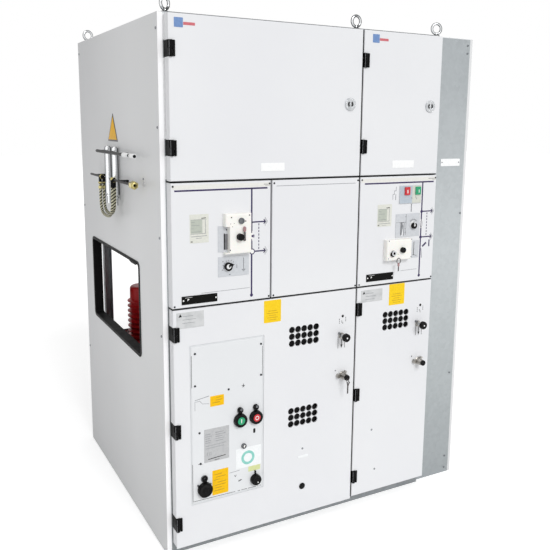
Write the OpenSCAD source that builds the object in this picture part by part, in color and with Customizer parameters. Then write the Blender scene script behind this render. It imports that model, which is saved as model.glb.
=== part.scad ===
// Ring main unit: two bays of air-insulated medium-voltage switchgear and an end bay,
// 1.89 m high. The breaker bay shows a vacuum breaker through its lower door.
// All sizes in millimetres. +X runs to the right along the front, +Y to the back, +Z up.
// The origin is the centre of the four floor-fixing holes, at floor level.

/* [Overall] */
// Height from the floor to the top of the side covers
height = 1890; // [1700:1:2150]
// Depth from the front flanges to the rear covers
depth = 1100; // [1060:1:1300]
// Width of the breaker bay, which carries two control panels side by side
breaker_bay_w = 750; // [740:1:820]
// Width of the switch bay
switch_bay_w = 375; // [365:1:450]
// Width of the narrow end bay on the right
end_bay_w = 190; // [150:1:300]
// Thickness of the left side cover over its front flange
left_cover_t = 18; // [14:1:30]
// Thickness of the right side cover over its front flange
right_cover_t = 14; // [10:1:30]
// Setback of the end bay's front behind the other front flanges
end_setback = 14; // [8:1:30]

/* [Front rows] */
// Height of the plinth below the doors
plinth_h = 48; // [40:1:80]
// Height of the seam between the lower doors and the control panels
control_z = 922; // [905:1:990]
// Height of the seam between the control panels and the upper doors
lv_z = 1351; // [1345:1:1440]
// Roof edge that shows above the upper doors
roof_lip = 6.5; // [4:0.5:15]
// Seam between neighbouring doors and panels
seam = 6.5; // [5.5:0.5:9]

/* [Sheet metal] */
// Thickness of folded sheet
sheet = 2; // [1.5:0.5:3]
// Outside radius of a fold
fold_r = 3; // [2.5:0.5:5]
// Depth of a door's folded edge
door_d = 36; // [30:1:45]
// Air gap between a closed door and the front flanges
door_gap = 6; // [5:0.5:10]
// Width of the bays' front and rear flanges
flange_w = 20; // [18:1:30]
// Height of the front rails
rail_h = 30; // [25:1:45]
// Depth of the front rails
rail_d = 25; // [20:1:40]

/* [Side window] */
// Distance from the front flanges to the front edge of the window
window_y = 249; // [220:1:300]
// Length of the window along the side
window_l = 699; // [600:1:740]
// Height of the window's lower edge
window_z = 668; // [600:1:700]
// Height of the window
window_h = 368; // [300:1:400]
// Corner radius of the window
window_r = 24; // [20:1:40]
// Depth of the window's frame, measured from the side cover's face
window_d = 36; // [28:1:60]
// Width of the frame's lip on the side cover
window_lip = 9; // [5:1:16]

/* [Rear window] */
// Distance from the breaker bay's left edge to the rear window
rear_window_x = 30; // [25:1:60]
// Width of the rear window
rear_window_w = 642; // [500:1:660]
// Height of the rear window's lower edge
rear_window_z = 520; // [480:1:600]
// Height of the rear window
rear_window_h = 516; // [400:1:530]

/* [Hinges] */
// Height of a hinge
hinge_h = 50; // [40:1:64]
// Radius of a hinge barrel
barrel_r = 6.5; // [5:0.5:8]
// Radius of a hinge pin
pin_r = 2.5; // [2:0.25:3]
// Distance from a door's edge to its hinge pin
pin_inset = 6; // [5:0.5:9]
// Distance of the hinge pin in front of the door's face
pin_proud = 2; // [0:0.5:4]
// Thickness of the hinge leaf on the door
leaf_t = 5; // [3:0.5:7]
// Distance from a lower door's ends to the middle of its end hinges
low_hinge_inset = 85; // [60:1:120]
// Distance from an upper door's ends to the middle of its hinges
lv_hinge_inset = 108; // [60:1:125]

/* [Locks] */
// Distance of the upper doors' locks from the free edge
lv_lock_inset = 50; // [45:1:54]
// Height of the upper doors' locks above the doors' lower edges
lv_lock_rise = 262; // [200:1:300]
// Radius of the upper doors' lock rosette
rosette_r = 23; // [18:1:26]
// Distance of the lower doors' knobs from the free edge
knob_inset = 64; // [60:1:68]
// Distance of the lower doors' knobs below the doors' upper edges
knob_drop = 178; // [165:1:220]
// Radius of the lower doors' knobs
knob_r = 16; // [12:1:18]
// Distance of the key locks from the free edge
key_inset = 55; // [50:1:60]
// Distance of the key locks below the knobs
key_drop = 162; // [120:1:200]
// Radius of the key locks' barrel
key_r = 11; // [9:0.5:14]
// Width of a cam tongue
cam_w = 16; // [12:1:20]
// Thickness of a cam tongue
cam_t = 3; // [2:0.5:5]
// Distance of a turned cam's tip from the bay's side wall
cam_clear = 9; // [6:1:12]

/* [Vents] */
// Radius of a vent hole
vent_r = 11.5; // [8:0.5:12]
// Distance between vent holes
vent_pitch = 26.2; // [25:0.1:30]
// Vent columns in a group
vent_cols = 5; // [3:1:5]
// Vent rows in a group
vent_rows = 3; // [2:1:3]

/* [Breaker] */
// Distance from the bay's left edge to the breaker's front
breaker_x = 66; // [60:1:80]
// Width of the breaker's front
breaker_w = 277; // [250:1:290]
// Height of the breaker front's lower edge
breaker_z = 200; // [180:1:230]
// Height of the breaker's front
breaker_h = 583; // [540:1:600]
// Height of the upper cover plate of the breaker's front
breaker_top_h = 176; // [150:1:220]
// Depth of the operating mechanism's housing behind the door
housing_d = 360; // [300:1:370]
// Gap between the breaker's front and the door's cut-out
cutout_gap = 6; // [5:0.5:8]
// Gap between the breaker's housing and the front pole's foot
front_pole_gap = 42; // [20:1:60]
// Gap between the rear pole's sheds and the back of the cabinet
rear_pole_gap = 94; // [50:1:110]
// Height of the poles' top
pole_top_z = 786; // [740:1:830]
// Height of the poles' foot
pole_foot_z = 330; // [320:1:360]
// Radius of a pole between its sheds
pole_r = 62; // [50:1:66]
// Reach of a shed beyond the pole
shed_out = 12; // [8:1:14]
// Distance between sheds
shed_pitch = 24; // [20:1:30]
// Number of sheds on a pole
shed_count = 13; // [8:1:14]

/* [Side tools] */
// Radius of the two upright tubes
tube_r = 13; // [8:0.5:13.5]
// Length of the upright tubes
tube_l = 227; // [200:1:250]
// Distance of the front tube behind the front flanges
front_tube_y = 486; // [484:1:510]
// Distance of the rear tube behind the front flanges
rear_tube_y = 586; // [560:1:590]
// Gap between the upright tubes and the side cover
tube_gap = 2; // [2:0.5:8]
// Radius of the operating bar
bar_r = 6; // [5:0.5:8]
// Radius of the two grips below it
grip_r = 4.5; // [3.5:0.5:6]
// Height of the upper operating bar
high_bar_z = 1427; // [1410:1:1450]
// Height of the lower operating bars
low_bar_z = 1326; // [1310:1:1335]

/* [Hidden] */
$fn = 48;

// Places along X, from the left side cover's outer face
total_w = left_cover_t + breaker_bay_w + switch_bay_w + end_bay_w + right_cover_t;
breaker_bay_x = left_cover_t;
switch_bay_x = breaker_bay_x + breaker_bay_w;
end_bay_x = switch_bay_x + switch_bay_w;
right_cover_x = end_bay_x + end_bay_w;
module_w = breaker_bay_w / 2;

// Places along Y and Z
door_y = -(door_gap + door_d);
lower_door_h = control_z - seam / 2 - plinth_h;
cover_h = lv_z - control_z - seam;
lv_door_z = lv_z + seam / 2;
lv_door_h = height - roof_lip - lv_door_z;
pin_y = door_y - pin_proud;
cam_y = sheet + 5;
running = 0.06;
shaft_r = 6;
base_t = 3;
base_flange = 50;
hole_inset_x = 60;
hole_inset_y = 30;
foot_hole_r = 7;
cover_gap = 1;
wall_d = depth - sheet;
shelf_z = 1090;
mechanism_d = 250;
lv_box_d = 320;
frame_wall = 3;
lip_t = 2.5;
end_return = 25;
rear_window_d = 8;
rear_window_r = window_lip + frame_wall + 2;
upright_x = 57;
upright_w = 34;
upright_d = 34;
upright_gap = 18;
eye_at = [18, 17, 29];
eye_inset_y = 35;
eye_collar_r = 14;
eye_collar_h = 7;
eye_rod_r = 5.5;
eye_ring_r = 19.5;
eye_centre_z = 32;

// Control panels: distances from a bay's left edge and from the panels' lower seam
lock_box_d = 24;
lock_box_r = 5;
plate_t = 2;
button_plate_t = 4;
// places of boxes, plates and slots as [x, z, width, height]
lock_box_left = [188, 179, 98, 139];
lock_box_right = [121, 98, 121, 82];
slot_plate_left = [169, 185, 35, 90];
slot_left = [191, 190, 9, 54];
dial_plate_left = [169, 98, 117, 70];
button_plate = [188, 318, 106, 70];
dial_plate_right = [175, 185, 119, 92];
slot_right = [200, 190, 15, 52];
scale_plate_right = [262, 97, 33, 70];
// places of knobs and lock cylinders as [x, z, radius, length]
lock_studs_left = [[246, 293, 10, 6], [240, 238, 12, 14]];
lock_studs_right = [[195, 138, 11, 10], [147, 125, 10, 8]];
dial_left = [205, 134, 14, 10];
dial_right = [262, 228, 12, 10];
button_x = [210, 263];
button_z = 351;
button_w = 26;
button_h = 32;
button_fit = 0.5;
button_proud = 5;
flange_play = 0.5;

// Breaker: distances from the front's lower left corner
breaker_left = breaker_bay_x + breaker_x;
breaker_mid = breaker_left + breaker_w / 2;
breaker_face = door_y - 1;
mask_t = 12;
plate_gap = 2;
on_at = [185, 283];
off_at = [248, 283];
spring_at = [247, 37];
socket_at = [45, 47];
key_at = [200, 179];
push_r = 14;
push_proud = 1.5;
bezel_r = 24.5;
bezel_t = 14;
eye_rise = 38;
spring_r = 20;
key_cover_r = 9;
key_cover_t = 6;
socket_r = 27;
socket_eye_rise = 42;
head_h = 71;
head_r = 14;
foot_out = 8;
boss_r = 20;
boss_l = 80;
boss_low = 48;
boss_high = 36;
terminal_l = 70;
terminal_w = 40;
terminal_t = 12;
chassis_y = 30;
chassis_half = 90;
beam_w = 40;
beam_h = 60;
table_t = 8;
pole_gap = 30;
front_pole_y = housing_d + front_pole_gap + pole_r + foot_out;
rear_pole_y = depth - rear_pole_gap - pole_r - shed_out;
pole_pitch = (rear_pole_y - front_pole_y) / 2;

// Vent groups: distances from a bay's left edge, and heights
left_vents_x = 517;
left_vents_z = [446.5, 765];
right_vents_x = 193.5;
right_vents_z = 770.5;

// Doors, hinges and locks
left_door_x = breaker_bay_x + seam / 2;
left_door_w = breaker_bay_w - seam;
right_door_x = switch_bay_x + seam / 2;
right_door_w = switch_bay_w - seam;
left_lock_x = left_door_x + left_door_w - lv_lock_inset;
right_lock_x = right_door_x + right_door_w - lv_lock_inset;
lv_lock_z = lv_door_z + lv_lock_rise;
knob_z = plinth_h + lower_door_h - knob_drop;
key_z = knob_z - key_drop;
low_hinge_z = [plinth_h + low_hinge_inset, plinth_h + lower_door_h / 2,
    plinth_h + lower_door_h - low_hinge_inset];
lv_hinge_z = [lv_door_z + lv_hinge_inset, lv_door_z + lv_door_h - lv_hinge_inset];
notch_w = pin_inset + barrel_r + 2;
notch_gap = 1.5;
leaf_clear = 2;
leaf_w = 7;
rosette_t = 4;
sleeve_r = 18;
sleeve_l = 22;
plug_r = 13;
bush_r = 12;
bush_t = 6;
bush_l = 20;
knob_out = 44;
knob_l = 16;
key_l = 32;
key_cap_t = 6;
key_core_r = 5;
key_core_l = 24;

// Tools on the side
tube_x = -tube_gap - tube_r;
bar_x = tube_x - tube_r - bar_r - 0.5;
grip_x = bar_x - 1;
tube_rise = 22;
core_inset = 4.5;
collar_z = 40;
collar_h = 44;
ring_drop = 12;
ring_h = 6;
prop_r = 5;
high_bar_y = [164, 678];
high_prop_y = [360, 640];
// grips as [front end, rear end], each with a prop
grips_y = [[193, 480], [600, 782]];
grip_prop_y = [360, 700];
// ferrules as [distance from the upper bar's front end, length]
ferrules = [[0, 46], [68, 66]];
ferrule_proud = 1.5;
lug_r = 8;
lug_half = 6;
nut_r = 15;
nut_h = 26;
nut_bore_r = 5.5;
grip_collar_r = 9;
grip_collar_l = 22;
lead_r = 6;
lead_top_z = 1296;
lead_x = [grip_x - lead_r - 0.5, grip_x + lead_r + 0.5];
outer_route = [[612, 1296], [612, 1276], [612, 1250], [611, 1230], [607, 1212], [599, 1197],
    [587, 1187], [571, 1182], [553, 1180], [533, 1179], [513, 1179], [494, 1181], [476, 1186],
    [461, 1195], [449, 1208], [441, 1225], [437, 1244], [435, 1268], [435, 1296]];
inner_route = [[609, 1296], [609, 1276], [609, 1256], [608, 1236], [606, 1222], [600, 1208],
    [590, 1198], [576, 1191], [560, 1188], [540, 1187], [520, 1187], [500, 1190], [484, 1196],
    [470, 1206], [459, 1220], [453, 1238], [450, 1256], [449, 1276], [449, 1296]];

paint = "#dcdde0";
galvanised = "#a6acb0";
black = "#18181a";
chrome = "#c8cacc";

module in_frame() {
    translate([-total_w / 2, -depth / 2, 0]) children();
}

function arc(cx, cy, r, from, to, n = 4) =
    [for (i = [0:n]) let (a = from + (to - from) * i / n) [cx + r * cos(a), cy + r * sin(a)]];

// A plate-like block whose front edges are folded round, front face at y = 0
module folded_block(w, h, d, r) {
    intersection() {
        linear_extrude(h)
            polygon(concat([[0, d]], arc(r, r, r, 180, 270), arc(w - r, r, r, 270, 360), [[w, d]]));
        rotate([90, 0, 90]) linear_extrude(w)
            polygon(concat([[d, 0]], arc(r, r, r, 270, 180), arc(r, h - r, r, 180, 90), [[d, h]]));
    }
}

// A folded tray with its open side to the back
module tray(w, h, d) {
    difference() {
        folded_block(w, h, d, fold_r);
        translate([sheet, sheet, sheet])
            folded_block(w - 2 * sheet, h - 2 * sheet, d, fold_r - sheet + 0.2);
    }
}

// A rounded rectangle drawn in X and Y from its lower left corner
module rounded_rect(w, h, r, n = 6) {
    polygon(concat(arc(r, r, r, 180, 270, n), arc(w - r, r, r, 270, 360, n),
        arc(w - r, h - r, r, 0, 90, n), arc(r, h - r, r, 90, 180, n)));
}

// A prism along X of a shape drawn in Y and Z
module along_x(l) {
    rotate([90, 0, 90]) linear_extrude(l) children();
}

// A cylinder along Y, from y = 0 to y = l
module rod_y(r, l, fn = 48) {
    rotate([-90, 0, 0]) cylinder(r = r, h = l, $fn = fn);
}

// A channel along X with its web to the front
module rail(l) {
    along_x(l) difference() {
        square([rail_d, rail_h]);
        translate([sheet, sheet]) square([rail_d, rail_h - 2 * sheet]);
    }
}

// ---- Base, covers and frame ----

// One plinth member along X, web at y = 0 and flanges towards +Y
module plinth_member(l) {
    along_x(l) difference() {
        square([base_flange, plinth_h]);
        translate([base_t, base_t]) square([base_flange, plinth_h - 2 * base_t]);
        translate([base_flange / 2, plinth_h - 2 * base_t]) square([base_flange, 3 * base_t]);
    }
}

module base_frame() {
    color(galvanised) in_frame() difference() {
        base_l = right_cover_x - left_cover_t;
        union() {
            translate([left_cover_t, 0, 0]) plinth_member(end_bay_x - left_cover_t);
            translate([end_bay_x, end_setback + sheet, 0]) plinth_member(end_bay_w);
            translate([left_cover_t, wall_d, 0]) mirror([0, 1, 0]) plinth_member(base_l);
            for (x = [left_cover_t, switch_bay_x - base_t / 2, end_bay_x - base_t, right_cover_x - base_t])
                translate([x, x > end_bay_x ? end_setback + sheet : 0, 0])
                    cube([base_t, wall_d - (x > end_bay_x ? end_setback + sheet : 0), plinth_h]);
        }
        for (x = [left_cover_t + hole_inset_x, total_w - left_cover_t - hole_inset_x])
            for (y = [hole_inset_y, depth - hole_inset_y])
                translate([x, y, -1]) cylinder(r = foot_hole_r, h = base_t + 2);
    }
}

// The opening cut for a window's frame, drawn in plan of the sheet
module window_cut(l, h, r, shrink) {
    translate([shrink, shrink]) rounded_rect(l - 2 * shrink, h - 2 * shrink, r - shrink);
}

module side_window_cut(shrink, x, l) {
    translate([x, window_y, window_z]) along_x(l)
        window_cut(window_l, window_h, window_r, shrink);
}

// A side cover's sheet with front, rear and top flanges, outer face at x = 0
module side_cover(w, d) {
    linear_extrude(height) difference() {
        polygon(concat(arc(fold_r, fold_r, fold_r, 180, 270), [[w, 0], [w, sheet]],
            arc(fold_r, fold_r, fold_r - sheet, 270, 180),
            arc(fold_r, d - fold_r, fold_r - sheet, 180, 90), [[w, d - sheet], [w, d]],
            arc(fold_r, d - fold_r, fold_r, 90, 180)));
    }
    translate([sheet, sheet, height - sheet]) cube([w - sheet, d - 2 * sheet, sheet]);
}

module left_side_cover() {
    color(paint) in_frame() difference() {
        side_cover(left_cover_t, depth);
        side_window_cut(window_lip, -1, sheet + 2);
    }
}

module right_side_cover() {
    color(paint) in_frame() translate([total_w, end_setback, 0])
        mirror([1, 0, 0]) side_cover(right_cover_t, depth - end_setback);
}

// A moulded window frame: a lip outside and a tube through the sheets, drawn along +X
module window_frame(l, h, r, d) {
    difference() {
        union() {
            translate([-lip_t, 0, 0]) along_x(lip_t) window_cut(l, h, r, 0);
            along_x(d) window_cut(l, h, r, window_lip);
        }
        translate([-lip_t - 1, 0, 0]) along_x(d + lip_t + 2)
            window_cut(l, h, r, window_lip + frame_wall);
    }
}

module side_window_frame() {
    color(black) in_frame() translate([0, window_y, window_z])
        window_frame(window_l, window_h, window_r, window_d);
}

module rear_window_frame() {
    color(black) in_frame() translate([breaker_bay_x + rear_window_x, depth, rear_window_z])
        rotate([0, 0, -90])
            window_frame(rear_window_w, rear_window_h, rear_window_r, rear_window_d);
}

// A bay's side wall: sheet at x = 0 with front and rear flanges towards +X
module bay_wall() {
    translate([0, 0, plinth_h]) linear_extrude(height - sheet - plinth_h)
        polygon([[0, 0], [flange_w, 0], [flange_w, sheet], [sheet, sheet],
            [sheet, wall_d - sheet], [flange_w, wall_d - sheet], [flange_w, wall_d], [0, wall_d]]);
}

// The breaker bay's left wall, cut out for the side window
module window_wall() {
    color(galvanised) in_frame() difference() {
        translate([breaker_bay_x, 0, 0]) bay_wall();
        side_window_cut(window_lip, left_cover_t - 1, sheet + 2);
    }
}

module bay_walls() {
    color(galvanised) in_frame() {
        for (x = [switch_bay_x, end_bay_x]) translate([x, 0, 0]) mirror([1, 0, 0]) bay_wall();
        translate([switch_bay_x, 0, 0]) bay_wall();
    }
}

module frame_members() {
    color(galvanised) in_frame() {
        for (bay = [[breaker_bay_x, breaker_bay_w], [switch_bay_x, switch_bay_w]])
            for (z = [plinth_h, control_z - rail_h / 2, lv_z - rail_h / 2, height - sheet - rail_h])
                translate([bay[0] + flange_w, 0, z]) rail(bay[1] - 2 * flange_w);
        translate([breaker_bay_x + upright_x, wall_d - upright_gap - upright_d, plinth_h + sheet])
            linear_extrude(shelf_z - plinth_h - sheet) difference() {
                square([upright_w, upright_d]);
                translate([sheet, -1]) square([upright_w - 2 * sheet, upright_d - sheet + 1]);
            }
    }
}

module rear_window_cover() {
    color(paint) in_frame() translate([0, wall_d, 0]) difference() {
        translate([breaker_bay_x, 0, plinth_h])
            cube([breaker_bay_w - cover_gap / 2, sheet, height - sheet - plinth_h]);
        translate([breaker_bay_x + rear_window_x, sheet + 1, rear_window_z])
            rotate([90, 0, 0]) linear_extrude(sheet + 2)
            window_cut(rear_window_w, rear_window_h, rear_window_r, window_lip);
    }
}

module rear_covers() {
    color(paint) in_frame() translate([0, wall_d, plinth_h]) {
        translate([switch_bay_x + cover_gap / 2, 0, 0])
            cube([switch_bay_w - cover_gap, sheet, height - sheet - plinth_h]);
        translate([end_bay_x + cover_gap / 2, 0, 0])
            cube([end_bay_w - cover_gap / 2, sheet, height - sheet - plinth_h]);
    }
}

module roof_plates() {
    color(paint) in_frame() translate([0, 0, height - sheet]) {
        translate([breaker_bay_x, 0, 0]) cube([breaker_bay_w - cover_gap / 2, depth, sheet]);
        translate([switch_bay_x + cover_gap / 2, 0, 0])
            cube([switch_bay_w - cover_gap, depth, sheet]);
        translate([end_bay_x + cover_gap / 2, end_setback, 0])
            cube([end_bay_w - cover_gap / 2, depth - end_setback, sheet]);
    }
}

// An eye bolt: collar, neck and ring, standing on z = 0
module eye_bolt() {
    cylinder(r = eye_collar_r, h = eye_collar_h);
    cylinder(r1 = eye_collar_r - 2, r2 = eye_rod_r, h = eye_centre_z - eye_ring_r);
    translate([0, 0, eye_centre_z]) rotate([90, 0, 0]) rotate_extrude()
        translate([eye_ring_r, 0]) circle(r = eye_rod_r, $fn = 24);
}

module eye_bolts() {
    color(galvanised) in_frame()
        for (x = [breaker_bay_x, switch_bay_x, end_bay_x] + eye_at)
            for (y = [eye_inset_y, depth - eye_inset_y])
                translate([x, y, height]) eye_bolt();
}

// The end bay's front strip, with a return beside the switch bay above the plinth
module end_front() {
    color(galvanised) in_frame() translate([end_bay_x, end_setback, 0]) {
        cube([end_bay_w, sheet, height - sheet]);
        translate([0, 0, plinth_h]) cube([sheet, end_return, height - sheet - plinth_h]);
    }
}

// A plate across a bay at height z, from y to the rear covers
module deck_plate(x, w, y, z) {
    translate([x + sheet, y, z]) cube([w - 2 * sheet, wall_d - sheet - y, sheet]);
}

module deck_plates() {
    color(galvanised) in_frame()
        for (bay = [[breaker_bay_x, breaker_bay_w], [switch_bay_x, switch_bay_w]]) {
            deck_plate(bay[0], bay[1], rail_d, plinth_h);
            deck_plate(bay[0], bay[1], mechanism_d, shelf_z);
        }
}

// A sheet box with its open side to the front
module open_box(w, d, h) {
    difference() {
        cube([w, d, h]);
        translate([sheet, -1, sheet]) cube([w - 2 * sheet, d - sheet + 1, h - 2 * sheet]);
    }
}

module lv_boxes() {
    box_z = lv_z + rail_h / 2;
    color(paint) in_frame()
        for (bay = [[breaker_bay_x, breaker_bay_w], [switch_bay_x, switch_bay_w]])
            translate([bay[0] + sheet, sheet, box_z])
                open_box(bay[1] - 2 * sheet, lv_box_d - sheet, height - sheet - rail_h - box_z);
}

module mechanism_boxes() {
    box_z = control_z + rail_h / 2;
    color(galvanised) in_frame()
        for (bay = [[breaker_bay_x, breaker_bay_w], [switch_bay_x, switch_bay_w]])
            translate([bay[0] + sheet, sheet, box_z])
                open_box(bay[1] - 2 * sheet, mechanism_d - sheet, lv_z - rail_h - control_z);
}

// ---- Control panels ----

// Places one of the control panels by its left edge
module control_cover(x) {
    translate([x + seam / 2, door_y, control_z + seam / 2])
        tray(module_w - seam, cover_h, door_d + door_gap);
}

module mimic_cover_left() {
    color(paint) in_frame() control_cover(breaker_bay_x);
}

module blank_cover() {
    color(paint) in_frame() control_cover(breaker_bay_x + module_w);
}

module mimic_cover_right() {
    color(paint) in_frame() difference() {
        translate([switch_bay_x + seam / 2, door_y, control_z + seam / 2])
            tray(switch_bay_w - seam, cover_h, door_d + door_gap);
        for (x = button_x)
            translate([switch_bay_x + x, door_y - 1, control_z + button_z])
                cube([button_w, sheet + 2, button_h]);
    }
}

// A box from its place [x, z, width, height] in a bay, front face t in front of the panel
module on_panel(bay_x, place, t) {
    translate([bay_x + place[0], door_y - t, control_z + place[1]])
        cube([place[2], t, place[3]]);
}

// A hole through on_panel's box of thickness t, at its own place
module panel_slot(bay_x, place, t) {
    translate([bay_x + place[0], door_y - t - 1, control_z + place[1]])
        cube([place[2], t + 2, place[3]]);
}

// A moulded lock box with its front edges rounded
module lock_box(bay_x, place) {
    translate([bay_x + place[0], door_y - lock_box_d, control_z + place[1]])
        folded_block(place[2], place[3], lock_box_d, lock_box_r);
}

module interlock_boxes() {
    color("#efece0") in_frame() {
        difference() {
            lock_box(breaker_bay_x, lock_box_left);
            panel_slot(breaker_bay_x, slot_plate_left, lock_box_d);
        }
        lock_box(switch_bay_x, lock_box_right);
    }
}

module mimic_plates() {
    color("#c9cdd2") in_frame() {
        difference() {
            on_panel(breaker_bay_x, slot_plate_left, plate_t);
            panel_slot(breaker_bay_x, slot_left, plate_t);
        }
        on_panel(breaker_bay_x, dial_plate_left, plate_t);
        difference() {
            on_panel(switch_bay_x, button_plate, button_plate_t);
            for (x = button_x)
                panel_slot(switch_bay_x, [x, button_z, button_w, button_h], button_plate_t);
        }
        difference() {
            on_panel(switch_bay_x, dial_plate_right, plate_t);
            panel_slot(switch_bay_x, slot_right, plate_t);
        }
        on_panel(switch_bay_x, scale_plate_right, plate_t);
    }
}

// A round knob or lock cylinder, from its place [x, z, radius, length] in a bay
module stud(bay_x, place, seat_t) {
    translate([bay_x + place[0], door_y - seat_t - place[3], control_z + place[1]])
        rod_y(place[2], place[3]);
}

module mimic_knobs() {
    color(black) in_frame() {
        for (place = lock_studs_left) stud(breaker_bay_x, place, lock_box_d);
        for (place = lock_studs_right) stud(switch_bay_x, place, lock_box_d);
        stud(breaker_bay_x, dial_left, plate_t);
        stud(switch_bay_x, dial_right, plate_t);
    }
}

// A rectangular push button with a retaining flange behind the panel
module switch_button(x) {
    stem = button_proud + button_plate_t + sheet + flange_play;
    translate([switch_bay_x + x, door_y + sheet + flange_play - stem, control_z + button_z]) {
        translate([button_fit, 0, button_fit])
            cube([button_w - 2 * button_fit, stem + sheet, button_h - 2 * button_fit]);
        translate([-2, stem, -2]) cube([button_w + 4, sheet, button_h + 4]);
    }
}

module switch_off_button() {
    color("#d3202a") in_frame() switch_button(button_x[0]);
}

module switch_on_button() {
    color("#00a070") in_frame() switch_button(button_x[1]);
}

// ---- Breaker ----

// Places a control of the breaker by its distance from the front's lower left corner
module at_front(p) {
    translate([breaker_left + p[0], breaker_face, breaker_z + p[1]]) children();
}

module breaker_front() {
    lower_h = breaker_h - breaker_top_h - plate_gap;
    color(paint) in_frame() difference() {
        translate([breaker_left, breaker_face, breaker_z]) {
            folded_block(breaker_w, lower_h, mask_t, fold_r);
            translate([0, 0, lower_h + plate_gap])
                folded_block(breaker_w, breaker_top_h, mask_t, fold_r);
        }
        for (p = [on_at, off_at])
            at_front(p) translate([0, -1, 0]) rod_y(push_r + running, mask_t + 2);
    }
}

module breaker_housing() {
    color(galvanised) in_frame()
        translate([breaker_left + sheet, breaker_face + mask_t, breaker_z + sheet])
        open_box(breaker_w - 2 * sheet, housing_d - breaker_face - mask_t, breaker_h - 2 * sheet);
}

module breaker_chassis() {
    floor_z = plinth_h + sheet;
    beam_l = rear_pole_y + pole_r + shed_out - chassis_y;
    color(galvanised) in_frame() translate([0, chassis_y, 0]) {
        for (side = [-1, 1])
            translate([breaker_mid + side * chassis_half - beam_w / 2, 0, floor_z]) {
                cube([beam_w, beam_l, beam_h]);
                translate([beam_w / 2 - sheet, housing_d + pole_gap - chassis_y, 0])
                    cube([2 * sheet, beam_l - housing_d - pole_gap + chassis_y, pole_foot_z - floor_z]);
            }
        translate([breaker_mid - chassis_half, 0, floor_z + beam_h - sheet])
            cube([2 * chassis_half, beam_l, sheet]);
        translate([breaker_mid - chassis_half, housing_d + pole_gap - chassis_y, pole_foot_z - table_t])
            cube([2 * chassis_half, beam_l - housing_d - pole_gap + chassis_y, table_t]);
        translate([breaker_mid - chassis_half, 0, floor_z + beam_h - sheet])
            cube([2 * chassis_half, 4 * sheet, breaker_z + sheet - floor_z - beam_h + sheet]);
        translate([breaker_mid - chassis_half, housing_d - chassis_y - 4 * sheet, floor_z + beam_h - sheet])
            cube([2 * chassis_half, 4 * sheet, breaker_z + sheet - floor_z - beam_h + sheet]);
    }
}

// A resin pole: foot flange, ring-shaped sheds and a rounded head, turned about Z
function shed_points(z) = [[pole_r, z - 5], [pole_r + shed_out, z - 2],
    [pole_r + shed_out, z + 1], [pole_r, z + 8]];

module breaker_pole() {
    height_above_foot = pole_top_z - pole_foot_z;
    first = height_above_foot - head_h - (shed_count - 1) * shed_pitch;
    rotate_extrude($fn = 64) polygon(concat(
        [[0, 0], [pole_r + foot_out, 0], [pole_r + foot_out, 12], [pole_r, 20]],
        [for (i = [0:shed_count - 1]) each shed_points(first + i * shed_pitch)],
        arc(pole_r - head_r, height_above_foot - head_r, head_r, 0, 90, 5),
        [[0, height_above_foot]]));
    for (z = [boss_low, height_above_foot - boss_high])
        translate([0, 0, z]) rotate([0, 90, 0]) cylinder(r = boss_r, h = boss_l);
}

module breaker_poles() {
    color("#6b1216") in_frame()
        for (i = [0:2])
            translate([breaker_mid, rear_pole_y - i * pole_pitch, pole_foot_z]) breaker_pole();
}

module pole_terminals() {
    rise = pole_top_z - pole_foot_z;
    color("#b87333") in_frame()
        for (i = [0:2], z = [boss_low, rise - boss_high])
            translate([breaker_mid + boss_l, rear_pole_y - i * pole_pitch, pole_foot_z + z])
                difference() {
                    translate([0, -terminal_w / 2, -terminal_t / 2])
                        cube([terminal_l, terminal_w, terminal_t]);
                    translate([terminal_l * 0.7, 0, -terminal_t])
                        cylinder(r = 6.5, h = 2 * terminal_t);
                }
}

// A black ring round a push button, with an eye above it for a padlock
module bezel(p) {
    at_front(p) difference() {
        union() {
            translate([0, -bezel_t, 0]) rod_y(bezel_r, bezel_t);
            translate([-6, -bezel_t / 2, 0]) cube([12, bezel_t / 2, eye_rise]);
            translate([0, -bezel_t / 2, eye_rise]) rod_y(9, bezel_t / 2);
        }
        translate([0, -bezel_t - 1, 0]) rod_y(push_r + running, bezel_t + 2);
        translate([0, -bezel_t - 1, eye_rise]) rod_y(4, bezel_t + 2);
    }
}

module breaker_controls() {
    color(black) in_frame() {
        bezel(on_at);
        bezel(off_at);
        at_front(spring_at) translate([0, -bezel_t, 0]) rod_y(spring_r, bezel_t);
        at_front(key_at) translate([0, -key_cover_t, 0]) rod_y(key_cover_r, key_cover_t);
        at_front(socket_at) difference() {
            union() {
                translate([0, -bezel_t, 0]) rod_y(socket_r, bezel_t);
                translate([-7, -bezel_t / 2, 0]) cube([14, bezel_t / 2, socket_eye_rise]);
                translate([0, -bezel_t / 2, socket_eye_rise]) rod_y(11, bezel_t / 2);
            }
            translate([0, -bezel_t - 1, socket_eye_rise]) rod_y(5, bezel_t + 2);
        }
    }
}

// A push button of the breaker, with a collar behind the front
module push_button(p) {
    at_front(p) {
        translate([0, -bezel_t - push_proud, 0])
            rod_y(push_r, bezel_t + push_proud + mask_t + flange_play + 3);
        translate([0, mask_t + flange_play, 0]) rod_y(push_r + 3, 3);
    }
}

module on_button() {
    color("#00a070") in_frame() push_button(on_at);
}

module off_button() {
    color("#c01820") in_frame() push_button(off_at);
}

// ---- Doors, hinges and locks ----

module hinge_notch(x, zs) {
    for (z = zs)
        translate([x - 1, door_y - 1, z - hinge_h / 2 - notch_gap])
            cube([notch_w + 1, door_d + 2, hinge_h + 2 * notch_gap]);
}

// The part of a hinge on the frame: lower barrel, arm to the flange and pin
module frame_hinge(h) {
    arm = -pin_y;
    cylinder(r = barrel_r, h = h / 2);
    cylinder(r = pin_r, h = h - 1);
    translate([-barrel_r, 0, 0]) cube([2 * barrel_r - 1, arm, h / 2]);
    translate([-barrel_r, barrel_r + 1, 0]) cube([2 * barrel_r - 1, arm - barrel_r - 1, h]);
}

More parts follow.
